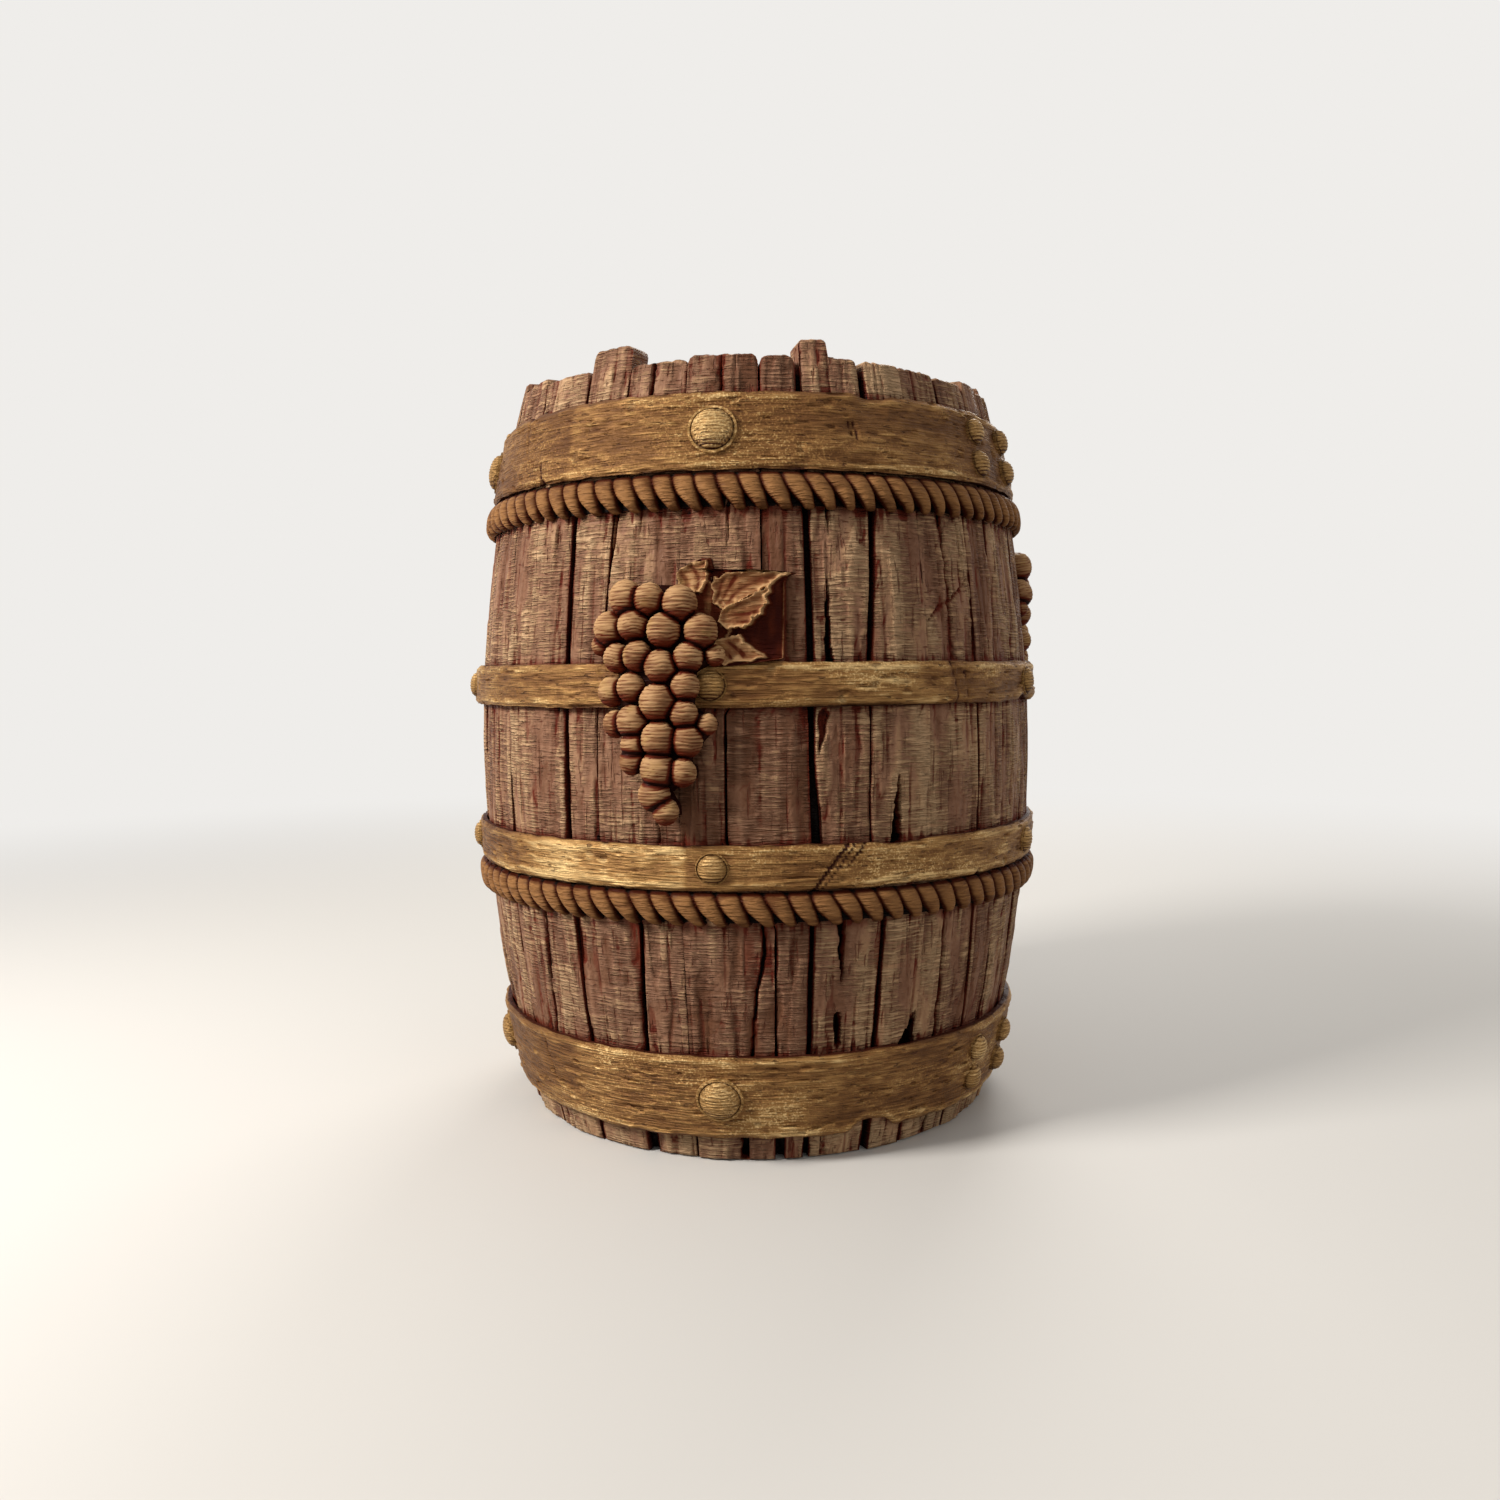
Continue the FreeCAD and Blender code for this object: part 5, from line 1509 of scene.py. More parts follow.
def hoops() -> list[Hoop]:
    """The four hoops with the dents, scratches and notches that the photograph shows.

    Returns:
        The hoops from the top one down.
    """
    top = Hoop(
        "hoop_top", 244.5, 28.3, True, 1100,
        dents=[
            Dent(157.0, 265.3, 1.6, 1.2, -0.7), Dent(160.2, 254.4, 1.6, 1.4, -0.7),
            Dent(160.6, 249.6, 1.6, 1.2, -0.6), Dent(219.0, 268.5, 7.5, 3.0, 1.1),
            Dent(202.1, 260.0, 2.2, 1.0, 0.6), Dent(202.0, 256.5, 1.8, 0.9, 0.5),
            Dent(222.4, 267.0, 1.6, 1.6, -0.6), Dent(214.2, 259.0, 1.6, 3.4, 0.8),
        ],
        scratches=[
            Crack(140.9, 272.0, 1.0, 142.6, 259.0, 0.8, 0.7),
            Crack(148.6, 252.5, 1.2, 150.2, 243.0, 1.3, 1.0),
            Crack(213.6, 262.0, 0.9, 214.2, 256.5, 0.7, 0.8),
            Crack(214.6, 262.0, 0.9, 215.2, 256.0, 0.7, 0.8),
        ],
        notches=[(219.5, 4.6, 1.6, 1.0), (142.0, 1.5, 0.8, 1.0), (149.8, 1.2, 0.9, -1.0)],
        tones=[(110.0, 158.1, -0.34), (186.0, 213.0, -0.22), (232.0, 262.0, -0.2)],
    )
    upper = Hoop(
        "hoop_upper", 164.0, 16.0, False, 1200,
        dents=[Dent(217.0, 164.6, 44.0, 2.4, 1.4), Dent(262.0, 165.0, 6.0, 3.0, 1.0)],
        scratches=[
            Crack(232.0, 179.4, 0.8, 233.8, 165.0, 0.8, 0.7),
            Crack(235.2, 179.0, 0.8, 236.0, 167.0, 0.7, 0.7),
        ],
        notches=[(258.6, 4.0, 1.6, -1.0)],
        tones=[(196.0, 232.0, 0.25)],
    )
    lower = Hoop(
        "hoop_lower", 101.5, 16.5, False, 1300,
        dents=[Dent(221.5, 116.0, 11.0, 2.4, 0.8)],
        scratches=[
            Crack(210.9, 117.2, 1.3, 204.7, 101.4, 1.0, 1.1),
            Crack(212.3, 117.4, 0.8, 206.4, 102.5, 0.7, 0.8),
            Crack(214.3, 117.8, 0.9, 211.1, 110.2, 0.7, 0.8),
        ],
        notches=[(221.5, 6.0, 0.9, 1.0)],
        tones=[(145.0, 184.0, 0.6), (208.0, 250.0, 0.2)],
    )
    bottom = Hoop(
        "hoop_bottom", 9.5, 32.5, True, 1400,
        dents=[Dent(214.5, 30.0, 3.0, 2.4, 0.6), Dent(150.0, 24.0, 5.0, 3.0, 0.5)],
        scratches=[Crack(146.0, 40.0, 0.9, 148.0, 22.0, 0.7, 0.7)],
        notches=[(219.0, 6.2, 4.2, -1.0)],
        tones=[(190.0, 212.0, 0.15)],
    )
    return [top, upper, lower, bottom]


@dataclass
class Rivets:
    """Domed rivets of one kind: a low flange and a dome with level tool ridges."""

    name: str
    places: list[Size]
    flange: float
    dome: float
    flange_height: float
    dome_height: float
    columns: int = 56
    rows: int = 30
    hoop_face: float = 2.7
    ridge_mm: float = 1.15

    def profile(self) -> tuple[Array, Array]:
        """Radius and height from the foot of the flange to near the top of the dome.

        The dome's radius is its own times cos t and its height its rise times (sin t)^0.9,
        as t goes from 0 to near a right angle.

        Returns:
            The radii and the heights, point by point.
        """
        foot = np.array([
            [self.flange - 0.25, -0.6], [self.flange, 0.2],
            [self.flange - 0.15, self.flange_height],
            [self.dome + 0.55, self.flange_height + 0.06],
            [self.dome + 0.22, self.flange_height - 0.3],
        ])
        turn = np.linspace(0.0, 0.985, self.rows) * math.pi / 2
        rise = self.flange_height - 0.2 + (self.dome_height + 0.2) * np.sin(turn) ** 0.9
        return np.concatenate([foot, stacked(np.cos(turn) * self.dome, rise)]).T[..., None]

    def make(self) -> None:
        """Turns the profile about each rivet's axis and dresses them as one piece."""
        shell = Shell()
        radius, height = self.profile()
        turn = circle(self.columns)
        dome = (radius < self.dome + 0.01) & (height > self.flange_height - 0.25)
        groove = np.exp(-((radius - self.dome - 0.25) / 0.35) ** 2) * (height < self.flange_height + 0.2)
        crown = smooth(height / (self.flange_height + self.dome_height))
        for place, (azimuth, level) in enumerate(self.places):
            wobble = 1.0 + 0.02 * noise(turn * 8 / (2 * math.pi), 0.0, 50 + place, 8)
            across = radius * np.cos(turn) * wobble
            up = radius * np.sin(turn) * wobble
            waver = 0.8 * noise(across / 3.0, up / 3.0, 60 + place)
            steps = np.sin(2 * math.pi * (up + level) / self.ridge_mm + waver)
            out = height + np.where(dome, 0.12 * steps, 0.0)
            centre = SKIN.point(azimuth, level, self.hoop_face)
            points = centre + stacked(across, up, out) @ SKIN.axes(azimuth, level)
            # Painted shade on the lower half of each dome and in the valleys between its ridges; painted
            # highlight towards the dome's top
            shaded = 0.4 * smooth((-0.2 - up / self.dome) / 0.7) + 0.5 * smooth((-0.3 - steps) / 0.4)
            hollow = unit(0.65 * groove + shaded * dome)
            ridge = unit(0.5 + 0.25 * steps + 0.3 * crown)
            shell.add(points, tube_faces(len(radius), self.columns), hollow=hollow, ridge=ridge)
        piece("domed", self.name, shell, RIVET_GOLD)


@dataclass
class Rivetry:
    """All rivets: where they sit, and the sizes of each kind.

    Heights are of the middles of the two straps and of the two narrow hoops.
    """

    first: float = 43.8
    each_hoop: int = 5
    straps: Size = (25.75, 258.65)
    hoops: Size = (109.75, 172.0)
    lap_azimuth: float = 253.8
    lap_half_angle: float = 36.0
    lap_across: float = 13.0
    lap_rows: float = 6.0

    def make(self) -> None:
        """Places the rivets round the hoops, and four at each lap."""
        rounds = [self.first + k * 360.0 / self.each_hoop for k in range(self.each_hoop)]
        free = [a for a in rounds if abs(a - self.lap_azimuth) > self.lap_half_angle]
        large = [(a, z) for z in self.straps for a in free]
        small = [(a, z) for z in self.hoops for a in rounds]
        spreads = [math.degrees(self.lap_across / float(SKIN.radius(z))) for z in self.straps]
        lap = [
            (self.lap_azimuth + side * spread, z + over * self.lap_rows)
            for z, spread in zip(self.straps, spreads) for side in (-1, 1) for over in (-1, 1)
        ]
        Rivets("rivets_large", large, 8.6, 7.1, 0.9, 3.5).make()
        Rivets("rivets_small", small, 5.8, 4.9, 0.6, 2.4).make()
        Rivets("rivets_lap", lap, 5.3, 4.7, 1.2, 2.9).make()


# Ropes

@dataclass
class Rope:
    """Laid rope flattened against the cask, its strands like a row of commas."""

    name: str
    low: float
    height: float
    strands: int = 90
    per_strand: int = 16
    front: int = 22
    stand_out: float = 4.7
    slant: float = 0.8
    fit: float = 0.1

    def make(self) -> None:
        """Builds the ring of strands.

        Round the section, v goes from the lower edge to the upper. The plain section is a
        half oval. The strand's own coordinate q goes from -1 to 1 across it and shifts with
        v, so the strands run on a slant. A strand is round, sqrt(1 - (q / w)^2), where its
        half width w shrinks towards the lower edge, and between strands it is deep.
        """
        columns = self.strands * self.per_strand
        turn = np.arange(columns)[:, None] / columns
        v = np.linspace(0.0, 1.0, self.front)[None, :]
        seed = sum(ord(letter) for letter in self.name)
        phase = turn * self.strands - self.slant * (1.0 - v) ** 1.15
        phase = phase + 0.08 * noise(turn * 60, v * 2.0, seed, 60)
        q = 2.0 * (phase - np.floor(phase)) - 1.0
        waist = 0.6 + 0.44 * smooth(v / 0.5)
        round_strand = np.sqrt(unit(1.0 - (q / waist) ** 2))
        oval = np.sqrt(unit(1.0 - np.abs(2.0 * v - 1.0) ** 2.6 * 0.96))
        swell = 1.0 - 0.07 * np.abs(noise(turn * self.strands, 0.0, seed + 1, self.strands))
        core = 0.03 + 0.28 * smooth((v - 0.3) / 0.5)
        out = self.fit + self.stand_out * oval * (core + (1.0 - core) * round_strand ** 0.8) * swell
        sag = 0.3 * noise(turn * 24, 0.0, seed + 2, 24)
        heights = self.low + 0.2 + (self.height + 0.35) * v + sag * (1.0 - np.abs(2 * v - 1))
        heights = heights + 1.3 * (1.0 - round_strand) * (1.0 - v) ** 3
        heights = np.concatenate([heights, heights[:, -1:] - 1.0, heights[:, :1] + 1.0], axis=1)
        # Painted shade: dark between strands, darker towards the lower edge, and darkest along the upper
        # edge under the hoop
        hollow = unit(1.34 - 1.5 * round_strand - 0.17 * v)
        hollow = unit(hollow + 0.7 * smooth((v - 0.86) / 0.12))
        ridge = unit(0.15 + 0.8 * round_strand * oval)
        out, hollow, ridge = (
            np.pad(part, ((0, 0), (0, 2)), constant_values=back)
            for part, back in ((out, self.fit), (hollow, 1.0), (ridge, 0.0))
        )
        points = SKIN.point(turn * 360.0, heights, out)
        shell = Shell().add(points, ring_faces(*out.shape), hollow=hollow, ridge=ridge)
        piece("laid", self.name, shell, ROPE_STAIN)


# Grapes and leaves

# Each grape's place across and over the bunch's middle, and its radius
GRAPES = [
    (-13.0, 29.5, 6.0), (-4.0, 29.0, 5.2), (7.0, 27.5, 5.8),
    (-20.0, 19.5, 5.7), (-10.0, 20.5, 5.2), (1.5, 18.5, 5.6), (14.0, 18.0, 5.7),
    (-24.0, 14.0, 3.6), (-16.5, 9.5, 4.8), (-8.0, 10.0, 5.0), (0.5, 6.5, 5.4),
    (10.0, 9.5, 5.0), (18.5, 10.0, 3.4), (-18.5, -2.0, 4.9), (-10.5, -0.5, 4.9),
    (-0.5, -5.5, 6.0), (9.0, 0.0, 4.9), (8.5, -9.5, 4.7), (-17.0, -13.0, 4.4),
    (-10.0, -12.0, 5.4), (0.0, -18.0, 6.0), (9.5, -18.5, 5.2), (-9.5, -20.0, 4.4),
    (-10.0, -25.5, 4.5), (-0.5, -28.0, 6.0), (8.0, -29.0, 4.6), (-2.0, -36.5, 5.4),
    (2.0, -42.2, 4.4), (16.0, -13.0, 3.4),
]


@dataclass(frozen=True)
class Lobe:
    """One lobe of the vine leaf.

    The outline is in distances across and over the bunch's middle. The lobe's plate stands
    at the level over its heart, falls or rises by the slopes, and curls up at its rim.
    """

    outline: tuple[Size, ...]
    heart: Size
    level: float
    slope: Size
    rim: float
    shade: float = 0.0

    def inside(self, across: Array, over: Array) -> Array:
        """Distance to the outline, positive inside it.

        Each edge gives the distance to its nearest point, and a point is inside where an
        odd number of edges crosses the level line to its right.

        Args:
            across: Distance of each point across.
            over: Distance of each point over.

        Returns:
            The signed distance.
        """
        nearest = np.full(across.shape, 1e9)
        crossings = np.zeros(across.shape, int)
        for (x0, y0), (x1, y1) in zip(self.outline, self.outline[1:] + self.outline[:1]):
            dx, dy = x1 - x0, y1 - y0
            share = unit(((across - x0) * dx + (over - y0) * dy) / (dx * dx + dy * dy))
            nearest = np.minimum(nearest, np.hypot(across - x0 - share * dx, over - y0 - share * dy))
            if dy:
                hit = x0 + (over - y0) * dx / dy
                crossings += ((y0 > over) != (y1 > over)) & (across < hit)
        return np.where(crossings % 2 == 1, nearest, -nearest)


LEAF_LOBES = [
    Lobe(
        ((7, 20), (9, 34), (14, 37), (18, 34), (22, 27), (24, 18), (20, 11), (10, 11)),
        (16.0, 24.0), 3.0, (0.0, 0.0), 0.5, 0.3,
    ),
    Lobe(
        ((3.9, 38.2), (7.1, 40.4), (11.3, 42.3), (15.2, 42.6), (15.6, 40.9), (15.0, 39.4),
         (16.6, 37.6), (15.6, 35.0), (14.6, 32.4), (12.4, 30.0), (9.6, 31.6), (6.6, 31.2),
         (4.7, 33.8)),
        (10.0, 37.0), 3.6, (0.02, -0.09), 0.75,
    ),
    Lobe(
        ((17.4, 37.2), (19.5, 36.3), (21.6, 37.9), (24.0, 38.4), (27.4, 38.2), (31.3, 39.2),
         (34.6, 38.3), (38.5, 38.9), (42.0, 37.9), (45.6, 37.6), (41.0, 35.8), (37.6, 33.0),
         (21.0, 24.5), (17.2, 27.5), (16.8, 33.0)),
        (28.0, 34.0), 3.7, (-0.035, 0.06), 0.7,
    ),
    Lobe(
        ((20.6, 25.6), (28.0, 29.0), (35.3, 32.6), (38.6, 35.4), (37.9, 33.2), (38.0, 30.6),
         (36.2, 29.3), (37.2, 27.2), (35.0, 25.4), (34.7, 22.9), (31.6, 22.0), (30.4, 19.6),
         (28.4, 18.3), (25.4, 19.0), (22.6, 18.0), (19.4, 21.0)),
        (29.0, 26.0), 4.7, (0.02, -0.05), 0.95,
    ),
    Lobe(
        ((18.0, 15.0), (22.3, 16.6), (27.1, 16.9), (28.4, 14.9), (30.8, 13.2), (32.8, 11.7),
         (37.2, 8.6), (33.6, 8.9), (30.7, 7.5), (26.0, 7.9), (21.6, 6.6), (17.0, 8.5)),
        (25.0, 12.0), 3.9, (-0.06, 0.03), 0.75,
    ),
]


# Left and right side of the ground that the lobes stand on, as heights over the bunch's
# middle and distances across
GROUND_LEFT = (
    (6.4, 12.0, 20.0, 30.0, 33.8, 38.2, 40.4, 42.3, 42.9),
    (20.0, 9.5, 8.5, 5.0, 4.2, 3.4, 6.6, 10.8, 12.5),
)
GROUND_RIGHT = (
    (6.4, 7.6, 8.8, 34.0, 36.5, 37.6, 38.0, 38.6, 39.2, 42.9),
    (24.0, 33.0, 41.2, 41.9, 42.6, 46.0, 42.6, 34.0, 17.0, 15.6),
)


@dataclass
class Cluster:
    """Bunch of grapes on its backing, with a leaf, at one side of the cask."""

    side: str
    azimuth: float
    height: float
    lean: float = 0.0
    leaf_drop: float = 0.0
    hand: int = 1
    stand_out: float = 8.0
    edge_drop: float = 5.0
    half_width: float = 24.0
    ridge_mm: float = 1.12
    stretch: Triple = (1.05, 0.975, 1.1)
    grape_rows: int = 58
    grape_columns: int = 38
    backing_span: Size = (-44.0, 34.0)
    backing_rows: int = 80
    backing_columns: int = 20
    leaf_rows: int = 112
    leaf_columns: int = 116
    leaf_root: Size = (15.0, 22.0)
    hoop: Size = (164.0, 180.0)
    hoop_face: float = 2.8
    fit: float = 0.35

    def spot(self, across: Array, over: Array) -> tuple[Array, Array]:
        """Distances across and up from the bunch's middle, once its pattern leans."""
        turn = math.radians(self.lean)
        side = across * math.cos(turn) - over * math.sin(turn)
        return self.hand * side, across * math.sin(turn) + over * math.cos(turn)

    def place(self, across: Array, over: Array, offset: Array) -> Array:
        """Points out of the skin at places of the pattern."""
        side, rise = self.spot(across, over)
        azimuth = self.azimuth + np.degrees(side / (SKIN.belly_radius + offset))
        return SKIN.point(azimuth, self.height + rise, offset)

    def grape_offset(self, across: Array) -> Array:
        """How far a grape's middle lies out of the skin: less towards the bunch's sides."""
        return self.stand_out - self.edge_drop * (across / self.half_width) ** 2

    def grapes(self) -> None:
        """Builds the grapes as ridged balls, and their backing, as one piece.

        A ball is stretched a little across and up. Its radius along each direction has
        lumps and wavering level ridges. Painted shade darkens a grape where a point comes
        within a millimetre or two of another grape, where it meets the cask and over its lower
        half, and a painted highlight makes its upper half paler.
        """
        shell = Shell()
        centres = np.array([self.place(a, o, self.grape_offset(a)) for a, o, _ in GRAPES])
        radii = np.array([radius for _, _, radius in GRAPES])
        lat = np.linspace(-0.985, 0.985, self.grape_rows)[:, None] * math.pi / 2
        lon = circle(self.grape_columns)
        ball = stacked(np.cos(lat) * np.cos(lon), np.cos(lat) * np.sin(lon), np.sin(lat))
        round_turn = lon * 6 / (2 * math.pi)
        for place, (centre, radius) in enumerate(zip(centres, radii)):
            turn = math.degrees(math.atan2(centre[0], -centre[1]))
            axes = SKIN.axes(turn, centre[2])[[0, 2, 1]] * np.array(self.stretch)[:, None]
            wave = 2 * math.pi * (ball[..., 2] * radius + centre[2]) / self.ridge_mm
            wave = wave + 2.8 * rough(round_turn, lat * 3.0, 80 + place, 2, 6)
            depth = 0.75 + 0.35 * noise(round_turn, lat * 4.0, 160 + place, 6)
            steps = (2.0 * np.abs(np.sin(wave / 2)) ** 0.8 - 1.0) * depth
            lump = 0.03 * noise(round_turn, lat * 1.6, 120 + place, 6)
            shape = radius * (0.965 + lump) + 0.16 * steps
            points = centre + (ball @ axes) * shape[..., None]
            others = np.delete(np.arange(len(radii)), place)
            gaps = np.linalg.norm(points[:, :, None, :] - centres[others], axis=-1) - radii[others]
            near = gaps.min(axis=-1)
            away = np.hypot(points[..., 0], points[..., 1]) - SKIN.radius(points[..., 2])
            # Painted shade where another grape comes near and where the grape meets the cask
            hollow = 1.0 - smooth((near + 0.3) / 3.0) + 0.9 * (1.0 - smooth((away - 0.5) / 4.0))
            hollow = unit(hollow + 0.42 * smooth((-0.1 - steps) / 0.6))
            # Painted shade over the lower half of each grape
            hollow = unit(hollow + 0.5 * smooth((-0.1 - ball[..., 2]) / 0.7))
            # Painted highlight: the upper half is paler
            ridge = unit(0.5 + 0.35 * steps + 0.3 * ball[..., 2])
            shell.add(points, tube_faces(*ball.shape[:2]), hollow=hollow, ridge=ridge)
        self.backing(shell)
        piece("carved", "grapes_" + self.side, shell, GRAPE_STAIN)

    def clear_of_cask(self, rise: Array) -> Array:
        """Least offset that clears the skin, or the hoop where the height is within it.

        Args:
            rise: Heights over the middle of the bunch.

        Returns:
            The offset from the skin at each height.
        """
        height = self.height + rise
        low, high = self.hoop
        inside = smooth((height - low + 0.9) / 0.6) * smooth((high + 0.9 - height) / 0.6)
        return self.fit + self.hoop_face * inside

    def slab(
        self, shell: Shell, across: Array, over: Array, out: Array, hollow: Array, ridge: Array
    ) -> None:
        """Adds a plate between the cask and a front face over a grid of places.

        Args:
            shell: The shell that it joins.
            across: Distance of each place across.
            over: Distance of each place over.
            out: Offset of the front face.
            hollow: Its marks for glaze and painted shade.
            ridge: Its marks for dry brush and painted highlight.
        """
        under = np.minimum(self.clear_of_cask(self.spot(across, over)[1]), out - 0.2)
        points = np.stack([self.place(across, over, out), self.place(across, over, under)])
        hollow = np.stack([hollow, np.ones_like(hollow)])
        shell.add(points, slab_faces(*out.shape), hollow=hollow, ridge=np.stack([ridge, 0.0 * ridge]))

    def backing(self, shell: Shell) -> None:
        """Adds the plate behind the grapes, which ends within the outline of their rows.

        Args:
            shell: The shell that it joins.
        """
        low, high = self.backing_span
        over = np.linspace(low, high, self.backing_rows)[:, None]
        a, o, r = (np.array(GRAPES)[:, k][None, :] for k in range(3))
        reach = np.sqrt(np.clip(r ** 2 - (o - over) ** 2, 0.0, None))
        touched = reach > 0.0
        left = np.where(touched, a - 0.75 * reach, 99.0).min(axis=1)
        right = np.where(touched, a + 0.75 * reach, -99.0).max(axis=1)
        kernel = np.ones(5) / 5.0
        left, right = (
            np.convolve(np.pad(side, 2, mode="edge"), kernel, mode="valid")[:, None]
            for side in (left, right)
        )
        share = np.linspace(0.0, 1.0, self.backing_columns)[None, :]
        across = left + (right - left) * share
        over = over + 0.0 * across
        base = self.clear_of_cask(self.spot(across, over)[1])
        out = base + 0.4 + 3.4 * (1.0 - (2.0 * share - 1.0) ** 4)
        # The backing is coloured as red glaze and painted shade, almost black where it shows between the
        # grapes
        self.slab(shell, across, over, out, np.full(out.shape, 0.95), np.full(out.shape, 0.2))

    def leaf(self) -> None:
        """Builds the vine leaf as one carved plate.

        Over a low ground, each lobe raises the plate to its own level within its outline,
        whose edge is notched by noise. Ribs fan out from the leaf's root as waves of the
        angle about it, and a thin lip follows the ground's right edge.
        """
        over = np.linspace(GROUND_LEFT[0][0], GROUND_LEFT[0][-1], self.leaf_rows)[:, None]
        left = np.interp(over, *GROUND_LEFT)
        right = np.interp(over, *GROUND_RIGHT)
        across = left + (right - left) * np.linspace(0.0, 1.0, self.leaf_columns)[None, :]
        over = over + 0.0 * across
        ground = 0.75 + 0.3 * rough(across / 4.0, over / 7.0, 72)
        raised = 0.7 * np.exp(-((right - across - 0.6) / 0.5) ** 2)
        ground = ground + raised * smooth((36.0 - over) / 2.0)
        base = self.clear_of_cask(self.spot(across, over - self.leaf_drop)[1])
        bottom = base - self.fit + np.clip(ground, 0.55, None)
        # The ground is dark red, partly glaze and partly painted shade; the lip along its right edge is
        # made paler, a painted highlight
        lip = np.exp(-((right - across - 0.7) / 0.5) ** 2)
        pools = rough(across / 2.6, over / 6.0, 79)
        out, hollow = bottom, unit(0.86 + 0.22 * pools - 0.5 * lip)
        ridge = unit(0.35 + 0.3 * pools + 0.3 * lip)
        side, rise = across - self.leaf_root[0], over - self.leaf_root[1]
        angle = np.arctan2(rise, side)
        ribs = np.sin(26.0 * angle + 2.5 * noise(across / 6.0, over / 6.0, 75))
        root = smooth((np.hypot(rise, side) - 6.0) / 8.0)
        notches = 0.5 * noise(across / 1.2, over / 1.2, 76) + 0.5 * noise(across / 2.4, over / 2.4, 77)
        carved = 0.3 * rough(across / 5.0, over / 5.0, 78)
        for lobe in LEAF_LOBES:
            depth = lobe.inside(across, over) + notches * 0.8
            cover = smooth((depth + 0.1) / 0.6)
            level = lobe.level + lobe.slope[0] * (across - lobe.heart[0])
            level = level + lobe.slope[1] * (over - lobe.heart[1])
            level = level + 1.2 * lobe.rim * np.exp(-((depth - 0.5) / 0.8) ** 2)
            level = level + 0.07 * ribs * smooth(depth / 1.5) * root - 0.3 * smooth(depth / 4.0)
            level = np.maximum(level + carved, base + 1.4)
            raised = bottom + cover * (level - bottom)
            on_top = raised > out
            shade = lobe.shade + 0.3 * smooth((-0.2 - ribs) / 0.6) * smooth(depth / 2.0) * root
            shade = shade + 0.24 * smooth((pools + 0.1) / 0.8) * smooth((depth - 0.6) / 1.5)
            shade = np.maximum(shade, 0.9 * (1.0 - cover))
            hollow = np.where(on_top, shade, hollow)
            rim = np.exp(-((depth - 0.5) / 0.7) ** 2)
            ridge = np.where(on_top, unit(0.4 + 0.6 * rim + 0.15 * ribs), ridge)
            out = np.maximum(out, raised)
        shell = Shell()
        self.slab(shell, across, over - self.leaf_drop, out, unit(hollow), ridge)
        piece("carved", "leaf_" + self.side, shell, LEAF_STAIN)

    def make(self) -> None:
        """Builds the bunch and its leaf."""
        self.grapes()
        self.leaf()


def clusters() -> list[Cluster]:
    """The rear bunch, and the two beside the tap, which mirror each other.

    Returns:
        The three bunches.
    """
    beside = {"height": 195.8, "lean": 16.0, "leaf_drop": 15.0}
    return [
        Cluster("rear", 180.0, 172.0),
        Cluster("left", 300.0, **beside),
        Cluster("right", 60.0, hand=-1, **beside),
    ]


# Lid, base and bag

@dataclass
class Lid:
    """Lid of three boards on two battens, with a turned knob."""

    radius: float = 82.48
    seat: float = 256.15
    thickness: float = 10.0
    boards: int = 3
    gap: float = 0.4
    rows: int = 90
    columns: int = 40
    knob_rows: int = 121
    knob_columns: int = 72

    def board(self, number: int) -> None:
        """Builds one board: a slab cut to the lid's circle with a planed, eased top.

        Args:
            number: Which board, from 0.
        """
        width = 2 * self.radius / self.boards
        left = -self.radius + number * width + self.gap / 2
        right = left + width - self.gap
        reach = self.radius - 0.25
        x = np.clip(np.linspace(left, right, self.columns), -reach, reach)[None, :]
        share = np.linspace(-1.0, 1.0, self.rows)[:, None]
        y = share * np.sqrt(self.radius ** 2 - x ** 2)
        side = np.minimum(x - left, right - x)
        rim = np.maximum(self.radius - np.hypot(x, y), 0.0)
        eased = 0.8 * (1.0 - smooth(side / 1.6)) + 0.8 * (1.0 - smooth(rim / 1.6))
        planed = 0.12 * rough(x / 5.0, y / 60.0, 300 + number)
        planed = planed + 0.1 * noise(x / 1.5, y / 30.0, 310 + number)
        top = self.seat + self.thickness - 0.15 - eased + planed
        points = np.stack([stacked(x, y, top), stacked(x, y, self.seat)])
        shell = Shell().add(points, slab_faces(self.rows, self.columns))
        piece("pine", f"lid_board_{number + 1}", shell, PlanedPine(), Body.LID)

    def knob(self) -> None:
        """Turns the knob from its outline: foot, neck, full head and low crown."""
        outline = np.array([
            [5.0, -9.5], [5.0, 0.0], [11.4, 0.0], [12.0, 0.5], [11.8, 1.3], [10.4, 2.2], [8.8, 3.8],
            [7.8, 5.8], [7.5, 7.6], [8.4, 9.6], [10.6, 11.4], [13.2, 12.8], [14.6, 14.6], [15.0, 16.6],
            [14.6, 18.6], [13.2, 20.4], [11.2, 21.8], [9.0, 22.8], [6.0, 23.5], [3.0, 23.85], [0.4, 23.95],
        ])
        radius, height = traced(outline, self.knob_rows)
        turn = circle(self.knob_columns)
        level = self.seat + self.thickness + height
        points = stacked(radius * np.cos(turn), radius * np.sin(turn), level)
        shell = Shell().add(points, tube_faces(self.knob_rows, self.knob_columns))
        finish = PlanedPine("#8f6644", "#5c3a24", 2.2, (1.0, 1.0, 0.1), "turned_stained_pine")
        piece("turned", "lid_knob", shell, finish, Body.LID)

    def make(self) -> None:
        """Builds the boards and the knob, and dresses the battens."""
        for number in range(self.boards):
            self.board(number)
        self.knob()
        dressed("lid_battens", PlanedPine(along=(0.06, 1.0, 1.0)))


